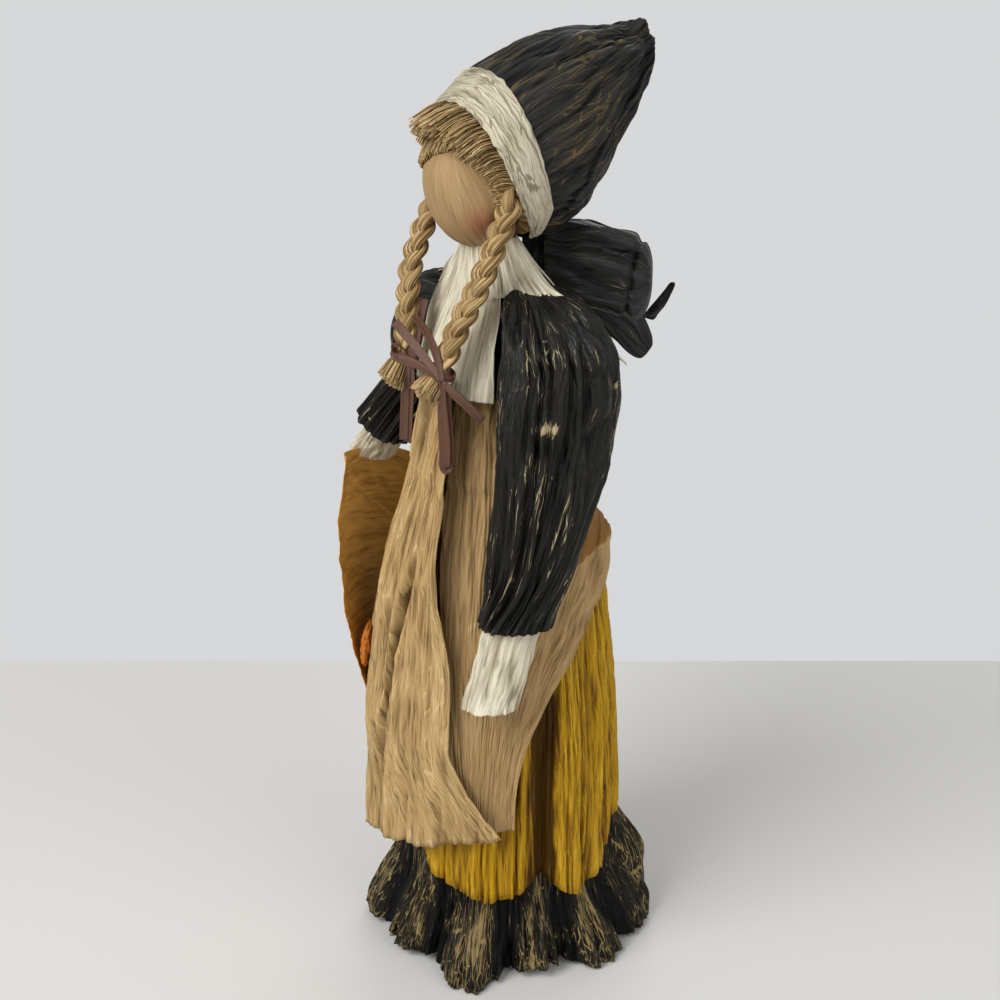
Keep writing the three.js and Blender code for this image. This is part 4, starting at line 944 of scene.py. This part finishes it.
# By plait, from the plait's end: the knot, then runs of ribbon. Each has its points, width, the way that it
# faces, and whether it is a loop.
BOWS = {
    "left": ((5.4, -2.3, 0.6), (
        (((-1.7, -6, 9.6), (-8.7, -10.1, 17.9), (-12.6, -12.4, 22.4)), 3.6, (0.75, -0.6, 0.3), False),
        (((0.4, -2, 11), (-4.3, -3.2, 18.6), (-9.1, -5.7, 24.8)), 3.4, (0.2, -0.2, 1), False),
        (((5.5, -2.6, -7.4), (5.8, -2.3, -17.1), (6, -1.9, -27.6), (5.9, -2, -34)), 4.6,
         (0.75, -0.6, 0.1), True),
        (((8.5, 1.6, -4.5), (11.4, 5.9, -9.8), (14.5, 10.3, -15.6)), 3.8, (0.8, -0.5, 0.5), False),
        (((-0.3, -6.9, 5.5), (-4.1, -10.7, 7.9), (-7.1, -14, 9.3)), 3.8, (0.6, -0.4, 0.8), True))),
    "right": ((5.2, 0.3, 2.3), (
        (((3.7, 2.6, 8.4), (1.7, 5.9, 17), (0.1, 9.6, 25.3)), 5.2, (0.75, -0.6, 0.1), False),
        (((1.7, -1.2, 7), (-0.3, -3.6, 7.7), (0.2, -4.5, 5.5), (2.8, -2, 3.7)), 3, (0.5, 0.3, 0.8), False),
        (((5.6, -2.5, -4), (5.1, -3.1, -16.7), (4.7, -3.8, -31.7)), 3.6, (0.75, -0.6, 0.1), False),
        (((6.7, -0.9, -4), (6.3, -1.6, -16.6), (5.5, -2.5, -32.6)), 3.4, (0.6, -0.8, 0.1), False))),
}


def ribbon_run(bm, curve, facing, width_at, steps=44):
    """Adds a ribbon along a curve, its face turned to a given way and its edges a little curled."""
    uv = bm.loops.layers.uv["UVMap"]
    strip = bmesh.ops.create_grid(bm, x_segments=8, y_segments=steps, size=0.5)["verts"]
    for vert in strip:
        for loop in vert.link_loops:
            loop[uv].uv = ((vert.co.x + 0.5) * RIBBON_WIDTH * MM, (vert.co.y + 0.5) * 0.045)
        u, v = vert.co.x, vert.co.y + 0.5
        way = (curve(min(1, v + 0.02)) - curve(max(0, v - 0.02))).normalized()
        side = way.cross(facing).normalized()
        face = side.cross(way)
        vert.co = (curve(v) + side * u * width_at(v) + face * (0.9 * u * u - 0.1)) * MM


def looped(start, points, behind):
    """A curve out along the points and back behind them to the start."""
    tip = points[-1] + (points[-1] - points[-2]).normalized() * 2 + behind / 2
    return through([start, *points, tip, *(point + behind for point in reversed(points)), start + behind / 2])


satin, tree, shader = new_material("brown satin ribbon")
uv = add_node(tree, "UVMap", uv_map="UVMap").outputs[0]
threads = speckle(tree, uv, (9000, 160, 1))
ribs = {"Vector": uv, "Scale": 900.0, "Distortion": 0.5}
ribs = add_node(tree, "TexWave", ribs, bands_direction="Y").outputs[1]
tint = blended(tree, threads, ink(0.22, 0.125, 0.08), ink(0.43, 0.265, 0.17))
tree.links.new(tint, shader.inputs["Base Color"])
tree.links.new(worked(tree, "MULTIPLY_ADD", threads, 0.2, 0.28), shader.inputs["Roughness"])
raise_skin(tree, shader, worked(tree, "MULTIPLY_ADD", ribs, 0.4, threads), 0.00012)
for side, (knot_place, runs) in BOWS.items():
    path, way = braids[side]
    knot = path(1) - way * 2.8
    forward = Vector((1, 0, 0)).cross(way).normalized()
    start = path(1) + Vector(knot_place)
    bm = bmesh.new()
    bm.loops.layers.uv.new("UVMap")
    for lap in range(2):
        def wound(share):
            turn = 2 * pi * share
            ring = Vector((WOUND_HALF_WIDTH * sin(turn), 0, 0)) + forward * WOUND_HALF_DEPTH * cos(turn)
            return knot + ring * (1 + 0.05 * lap) + way * (1.1 * lap - 0.6 + 0.8 * sin(turn))
        ribbon_run(bm, wound, BOW_FACING, lambda v: WOUND_WIDTH)
    for points, width, facing, closed in runs:
        facing = Vector(facing).normalized()
        points = [path(1) + Vector(point) for point in points]
        if closed:
            curve = looped(start, points, Vector((0.6, 1.2, 0)) - facing * 1.5)
        else:
            curve = through([start, *points])

        def drawn_in(v):
            from_knot = min(v, 1 - v) / 0.25 if closed else v / 0.4
            return width * mix(0.6, 1, smooth(0, 1, from_knot))
        ribbon_run(bm, curve, facing, drawn_in, 60)
    bow = piece_from(bm, side + "_ribbon_bow_satin", RIBBON_WALL)
    dress(bow, satin, side + "_braid", side + "_ribbon_bow")


# Collar
# Ivory crinkled paper in four lapped pieces, drawn close round the neck: a square bib down the chest, a flap
# over each shoulder and a panel down the back, whose lower corner curls away.
NECK_PLACE, NECK_EDGE, COLLAR_HIGH = Vector((0, -7.5, 0)), 10.2, 324.5
BIB_LOW, BIB_HALF_WIDTH, COLLAR_BACK_LENGTH, COLLAR_CURL = 265.5, 27, 38, 24
BIB_FLAT, FLAP_FLAT, COLLAR_BACK_FLAT = (0.056, 0.062), (0.028, 0.025), (0.04, 0.046)
FLAP_SPAN, BACK_SPAN, BACK_RISE = (56, 132), (136, 224), 0.82


def neck_edge(degrees, beyond=0):
    return around(radians(degrees), NECK_EDGE + beyond, COLLAR_HIGH) + NECK_PLACE


def bib_at(u, v):
    a = mix(-1, 1, u)
    ridge, crest = crinkle(54 * u, 120, 40 * v, 0.5, 0.45)
    drop = through([
        (BIB_HALF_WIDTH * a, -mix(36.5, 24.5, a * a), BIB_LOW - 1.5 * max(0, a)),
        (25.5 * a, -mix(30, 22.5, a * a), 284), (22 * a, -mix(20.5, 17.5, a * a), 304), neck_edge(66 * a)])
    return drop(v) + Vector((0.35 * a, -1, 0.2)) * ridge, crest + 0.15


def flap_at(side):
    def place(u, v):
        inner = neck_edge(mix(*FLAP_SPAN, v), 0.8)
        outer = through([(18, -20.5, 303.5), (29, -9, 306), (36, 3, 305.5)])(v)
        ridge, crest = crinkle(34 * v, 150 + 9 * side, 24 * u, 0.5, 0.4)
        point = inner.lerp(outer, u) + Vector((0, 0, PAPER / 2 - 3.2 * sin(pi * u) * (1 - 0.3 * v) + ridge))
        point.x *= side
        return point, crest + 0.15
    return place


def collar_back_at(u, v):
    degrees = mix(*BACK_SPAN, u)
    angle = radians(degrees)
    z = mix(NECKLINE - 1 - COLLAR_BACK_LENGTH, NECKLINE - 1, min(1, v / BACK_RISE))
    curl = COLLAR_CURL * (1 - v) ** 1.7 * smooth(0.5, 0, u)
    ridge, crest = crinkle(20 * angle, 180, z, 0.35, 0.4)
    point = around(angle, bodice_outside(angle, z) + 2 * GAP + curl + PAPER / 2 + ridge, z)
    return point.lerp(neck_edge(degrees, 0.8), smooth(BACK_RISE, 1, v)), crest + 0.1


bib = form("collar_bib_paper", 130, 80, BIB_FLAT, bib_at)
dress(bib, ivory, "doll", "collar_bib")
for side, sign in (("left", 1), ("right", -1)):
    flap = form(f"collar_{side}_flap_paper", 70, 80, FLAP_FLAT, flap_at(sign), across=True)
    dress(flap, ivory, "doll", f"collar_{side}_flap")
collar_back = form("collar_back_paper", 100, 90, COLLAR_BACK_FLAT, collar_back_at)
dress(collar_back, ivory, "doll", "collar_back")


# Nape bow
# A big bow of black crinkled paper is tied behind the neck: a knot, two boxy puffed loops that point back
# and sideways, a wide hanging tail and a thin twisted one.
NAPE_KNOT, KNOT_HALF = Vector((0, 20.8, NECKLINE)), Vector((7, 6, 8))
LOOP_HIGH, LOOP_THICK = 17.5, 8
# By tail: height of its root on the knot, points, broad half axis, half thickness and fullness
TAILS = {
    "wide": (-3, ((6, 40, 296), (13, 51, 284), (21.5, 59, 269)), (1.2, 6.6, 7), 2.4, 0.3),
    "thin": (5, ((6, 50, 294), (14, 61, 283), (17.5, 67, 287), (19.5, 74, 297)), (1.5, 1.5, -0.9), 1, 0.25),
}


def squared(value, power=0.65):
    return abs(value) ** power * (1 if value > 0 else -1)


def puffed(point, outward, x, y, along, fold, crease):
    """A point moved out by the crinkles there, and its crest."""
    ridge, crest = crinkle(x, y, along, fold, crease)
    return point + outward * ridge, crest


def nape_knot_at(u, v):
    turn, girth = 2 * pi * u, sin(pi * v)
    way = Vector((sin(turn) * girth, cos(turn) * girth, cos(pi * v)))
    point = Vector((KNOT_HALF.x * way.x, KNOT_HALF.y * way.y, KNOT_HALF.z * way.z)) + NAPE_KNOT
    return puffed(point, way, 7 * sin(turn), 7 * cos(turn), 15 * v + 300, 0.8 * girth, 0.35 * girth)


def nape_loop_at(side):
    start = NAPE_KNOT + Vector((side * 3, -3, 1.5))
    end = start + Vector((side * 34, 29.5, -5))
    across = Vector((-26, side * 30, 0)).normalized()

    def place(u, v):
        turn = 2 * pi * u
        closed_end = max(0, 1 - max(0, (v - 0.7) / 0.3) ** 4) ** 0.5
        girth = min(1, v / 0.03) ** 0.5 * mix(0.8, 1, smooth(0, 0.4, v)) * closed_end
        girth *= 1 + 0.16 * noise.noise((1.4 * cos(turn), 1.4 * sin(turn) + side, 3 * v))
        rim = swell(v, 0.83 + 0.06 * cos(turn), 0.03)
        offset = across * LOOP_THICK * squared(sin(turn)) + Vector((0, 0, LOOP_HIGH * squared(cos(turn))))
        point = start.lerp(end, v) + offset * girth * (1 - 0.15 * rim)
        x, y, along = 15 * cos(turn), 9 * sin(turn), 30 * v + 340 * side
        point, crest = puffed(point, offset.normalized(), x, y, along, 1.7 * girth, 0.3 * girth)
        # The drawn-in ring near the loop's end is darkened through the crest: painted shade in the loop's
        # hollow.
        return point, 0.6 * crest + 0.3 - 1.3 * rim
    return place


def nape_tail_at(rise, points, broad, thick, fullness):
    root = NAPE_KNOT + Vector((0, KNOT_HALF.y * sqrt(1 - (rise / KNOT_HALF.z) ** 2) + GAP, rise))
    path = through([root, *(Vector(point) for point in points)])
    broad = Vector(broad)

    def place(u, v):
        turn = 2 * pi * u
        girth = max(0, sin(pi * v)) ** fullness
        offset = Vector((thick * sin(turn), 0, 0)) + broad * cos(turn)
        point = path(v) + offset * girth
        x, y, along = 3 * sin(turn), broad.length * cos(turn), 60 * v + 380
        return puffed(point, offset.normalized(), x, y, along, 0.8 * girth, 0.35 * girth)
    return place


bow_black = paper_material(
    "bow paper", ink(0.17, 0.168, 0.163), ink(0.05, 0.049, 0.047), ink(0.45, 0.41, 0.32), 0.33, 0.42,
    0.00022, specular=0.16)
knot_piece = form("nape_bow_knot_paper", 110, 60, (0.045, 0.022), nape_knot_at, 0)
dress(knot_piece, bow_black, "doll", "nape_bow_knot")
for side, sign in (("left", 1), ("right", -1)):
    loop_piece = form(f"nape_bow_{side}_loop_paper", 200, 90, (0.09, 0.045), nape_loop_at(sign), 0)
    dress(loop_piece, bow_black, "doll", f"nape_bow_{side}_loop")
for label, sizes in TAILS.items():
    tail = form(f"nape_bow_{label}_tail_paper", 100, 80, (0.045, 0.06), nape_tail_at(*sizes), 0)
    dress(tail, bow_black, "doll", f"nape_bow_{label}_tail")


# Arms
# Each arm is a wire in a full sleeve of black crinkled paper, gathered at the shoulder and into a flat
# ivory cuff, with a pinched tip of tan paper for a hand. The right hand holds the apron's corner.
ARMPIT, FOLD_ROOM = Vector((28.9, -2, 272)), 0.6
CUFF_HALF_WIDTH, CUFF_HALF_THICK, HAND_ROOM = 11.8, 6, 2.6
# Degrees over the shoulder, reach from the armpit and half the sleeve's depth there
SHOULDER_FAN = ((0, 15, 13), (30, 16.5, 17), (60, 17, 20.5), (90, 16.5, 22.5))
ELBOW_FAN = ((0, 18, 15), (35, 16.5, 14.5), (66, 14, 13))
# Middle, half width, half depth and degrees turned, of level sections down the hanging sleeve
LEFT_SLEEVE = (
    ((23, -4, 308), 3, 8, 0), ((32.5, -5, 304), 10, 15, 0), ((39.5, -6, 297), 16, 20.5, 0),
    ((45, -6.5, 285), 18.5, 24.5, 0), ((48, -8, 269), 17.5, 26.5, 0), ((51.4, -11, 251), 14.5, 26, 0),
    ((53.5, -17, 232), 13.5, 22.5, 0), ((54, -26, 202), 11.5, 18.5, 0), ((51.5, -31.5, 178), 10.5, 14.5, 36))
BRIGHT_PATCH = Vector((63, -23.5, 263.5))


def hung_section(middle, half_width, half_depth, degrees):
    wide, deep = cos(radians(degrees)), sin(radians(degrees))
    return Vector(middle), Vector((wide, -deep, 0)) * half_width, Vector((deep, wide, 0)) * half_depth


def sleeve_surface(sections, seed):
    middles, firsts, seconds = (through(row) for row in zip(*sections))

    def place(u, v):
        turn = 2 * pi * u
        share = min(1, max(0, (v - 0.04) / 0.92))
        shrink = 1 - 0.97 * smooth(0.04, 0, v) - 0.3 * smooth(0.96, 1, v)
        first, second = firsts(share), seconds(share)
        offset = first * cos(turn) + second * sin(turn)
        gathers = rounded_folds(17 * turn + 2 * sin(2 * turn)) * smooth(0.72, 0.97, share)
        ridge, crest = crinkle(19 * cos(turn) + seed, 24 * sin(turn), 100 * share, 1.8, 0.7)
        dent = 1.8 * lumps(turn, 1.3, 5 * share, seed)
        body = smooth(0, 0.06, share) * smooth(1.04, 0.9, share)
        grown = (ridge - 0.5 + dent) * mix(0.35, 1, body) + 0.7 * gathers
        point = middles(share) + offset * shrink + offset.normalized() * grown * shrink
        apart = point - BRIGHT_PATCH
        bright = 2.4 * exp(-(apart.x ** 2 + apart.y ** 2 + 2.6 * apart.z ** 2) / 26)
        # Gather crests lighter and their valleys darker through the crest: painted shade.
        return point, crest + 0.3 * gathers + bright
    return place


def cuff_surface(top, bottom, first, second, seed):
    def place(u, v):
        turn = 2 * pi * u
        ridge, crest = crinkle(8 * cos(turn) + seed, 8 * sin(turn), 30 * v, 0.25, 0.25)
        grown = ridge + 0.9 * lumps(turn, 1.5, 5 * v, seed) - PAPER / 2
        wide, thick = CUFF_HALF_WIDTH + grown, CUFF_HALF_THICK + grown
        flat = 1 - 0.12 * sin(pi * v)
        end = bottom + (bottom - top).normalized() * 0.8 * lumps(turn, 3, seed)
        return top.lerp(end, v) + first * thick * flat * cos(turn) + second * wide * sin(turn), crest
    return place


def hand_surface(top, bottom, first, second):
    def place(u, v):
        turn = 2 * pi * u
        girth = max(0, sin(pi * v)) ** 0.6
        ridge, crest = crinkle(7 * cos(turn) + 9, 7 * sin(turn), 20 * v, 0.5, 0.25)
        wide, thick = CUFF_HALF_WIDTH - HAND_ROOM + ridge, CUFF_HALF_THICK - HAND_ROOM + ridge
        return top.lerp(bottom, v) + (first * thick * cos(turn) + second * wide * sin(turn)) * girth, crest
    return place


left_sections = [hung_section(*sizes) for sizes in LEFT_SLEEVE]
left_cuff_end = Vector((49.8, -42.3, 142))
hold = lifted_at(0.3, 1) + Vector((-4, 7, -3))
elbow_fold = Vector((-ARMPIT.x - 22, ARMPIT.y - 17.5, ARMPIT.z - 16))
shoulder_sections = []
for degrees, reach, half in SHOULDER_FAN:
    way = Vector((-sin(radians(degrees)), 0, cos(radians(degrees))))
    middle = Vector((-ARMPIT.x, ARMPIT.y, ARMPIT.z)) + way * reach
    shoulder_sections.append((middle, way * (reach - FOLD_ROOM), Vector((0, half, 0))))
elbow_sections = []
for degrees, reach, half in ELBOW_FAN:
    way = Vector((0, cos(radians(degrees)), -sin(radians(degrees))))
    elbow_sections.append((elbow_fold + way * reach, Vector((-half, 0, 0)), way * (reach - FOLD_ROOM)))
wrist = Vector((-42, -31, 237))
right_way = (hold - wrist).normalized()
right_down = right_way.cross(Vector((-1, 0, 0))).normalized()
if right_down.dot(elbow_sections[2][2]) < 0:
    right_down.negate()
right_across = right_down.cross(right_way).normalized()
if right_across.x > 0:
    right_across.negate()
right_sections = [
    *shoulder_sections, *elbow_sections, (wrist, right_across * 12.5, right_down * 15.5)]
# By arm: body, sections, ends of the cuff and the hand, and what sleeve and cuff were cut to
ARMS = {
    "left": ("left_arm", left_sections, left_cuff_end, left_cuff_end + Vector((0, 0.3, 1)),
             (0.14, 0.17), (0.062, 0.043)),
    "right": ("doll", right_sections, hold - right_way * 3.5, hold - right_way * 1.98,
              (0.12, 0.12), (0.062, 0.017)),
}
sleeve_black = paper_material(
    "sleeve paper", ink(0.13, 0.122, 0.105), ink(0.02, 0.019, 0.017), ink(0.68, 0.62, 0.48), 0.4, 0.33,
    specular=0.16)
for seed, (side, arm) in enumerate(ARMS.items()):
    body, sections, cuff_end, hand_end, sleeve_cut, cuff_cut = arm
    last, first, second = sections[-1]
    first, second = first.normalized(), second.normalized()
    out = second.cross(first).normalized()
    if out.dot(cuff_end - last) < 0:
        out.negate()
    cuff_top = last - out * 2
    hand_top = cuff_top.lerp(cuff_end, 0.55)
    crinkle_size = 1.5 * sleeve_cut[0], 1.2 * sleeve_cut[1]
    sleeve = form(side + "_sleeve_paper", 270, 110, crinkle_size, sleeve_surface(sections, 40 * seed))
    dress(sleeve, sleeve_black, body, side + "_sleeve")
    surface = cuff_surface(cuff_top, cuff_end, first, second, 70 + 9 * seed)
    cuff = form(side + "_cuff_paper", 120, 60, cuff_cut, surface)
    dress(cuff, ivory, body, side + "_cuff")
    surface = hand_surface(hand_top, hand_end, first, second)
    hand = form(side + "_hand_paper", 80, 40, (0.045, 0.022), surface, 0)
    dress(hand, skin, body, side + "_hand")


# Stage, light and camera
# A pale table that ends a little behind the doll, under soft studio light, seen from the doll's front left
# and a little above.
CAMERA_PLACE, CAMERA_TURN = (0.5734, -0.4015, 0.495), (radians(67.7), 0, radians(55))
CAMERA_LENS, CAMERA_SHIFT = 63.4, -0.005
TABLE_WIDTH, TABLE_NEAR, TABLE_FAR = 3.2, -1.3, 0.25
LAMPS = (
    ("key", (0.15, -1.25, 1.25), 1.0, 26),
    ("fill", (1.35, 0.25, 0.8), 1.3, 8),
    ("back", (-0.9, 1.1, 1.1), 1.2, 8),
)
away = Vector((-sin(CAMERA_TURN[2]), cos(CAMERA_TURN[2]), 0))
beside = Vector((cos(CAMERA_TURN[2]), sin(CAMERA_TURN[2]), 0))
bm = bmesh.new()
for vert in bmesh.ops.create_grid(bm, x_segments=1, y_segments=1, size=0.5)["verts"]:
    vert.co = beside * TABLE_WIDTH * vert.co.x + away * mix(TABLE_NEAR, TABLE_FAR, vert.co.y + 0.5)
floor = piece_from(bm, "floor")
pale, tree, shader = new_material("pale floor")
place = add_node(tree, "TexCoord").outputs["Object"]
cloudy = speckle(tree, place, (3, 3, 3))
tint = blended(tree, cloudy, ink(0.79, 0.785, 0.77), ink(0.82, 0.815, 0.80))
tree.links.new(tint, shader.inputs["Base Color"])
shader.inputs["Roughness"].default_value = 0.6
floor.data.materials.append(pale)
for name, place, size, power in LAMPS:
    light = bpy.data.lights.new(name, "AREA")
    light.size = size
    light.energy = power
    lamp = bpy.data.objects.new(name, light)
    lamp.location = place
    lamp.rotation_euler = (Vector(place) - Vector((0, 0, 0.2))).to_track_quat("Z", "Y").to_euler()
    bpy.context.scene.collection.objects.link(lamp)
world = bpy.data.worlds.new("studio")
world.use_nodes = True
tree = world.node_tree
rays = add_node(tree, "LightPath").outputs
mirrored_or_through = worked(tree, "MAXIMUM", rays["Is Glossy Ray"], rays["Is Transmission Ray"])
seen = worked(tree, "MAXIMUM", rays["Is Camera Ray"], mirrored_or_through)
shown = blended(tree, seen, (0.35, 0.35, 0.35, 1), ink(0.84, 0.845, 0.85))
tree.links.new(shown, tree.nodes["Background"].inputs["Color"])
bpy.context.scene.world = world
bpy.context.scene.view_settings.view_transform = "Standard"
lens = bpy.data.cameras.new("camera")
lens.lens = CAMERA_LENS
lens.shift_x = CAMERA_SHIFT
camera = bpy.data.objects.new("camera", lens)
camera.location = CAMERA_PLACE
camera.rotation_euler = CAMERA_TURN
bpy.context.scene.collection.objects.link(camera)
bpy.context.scene.camera = camera
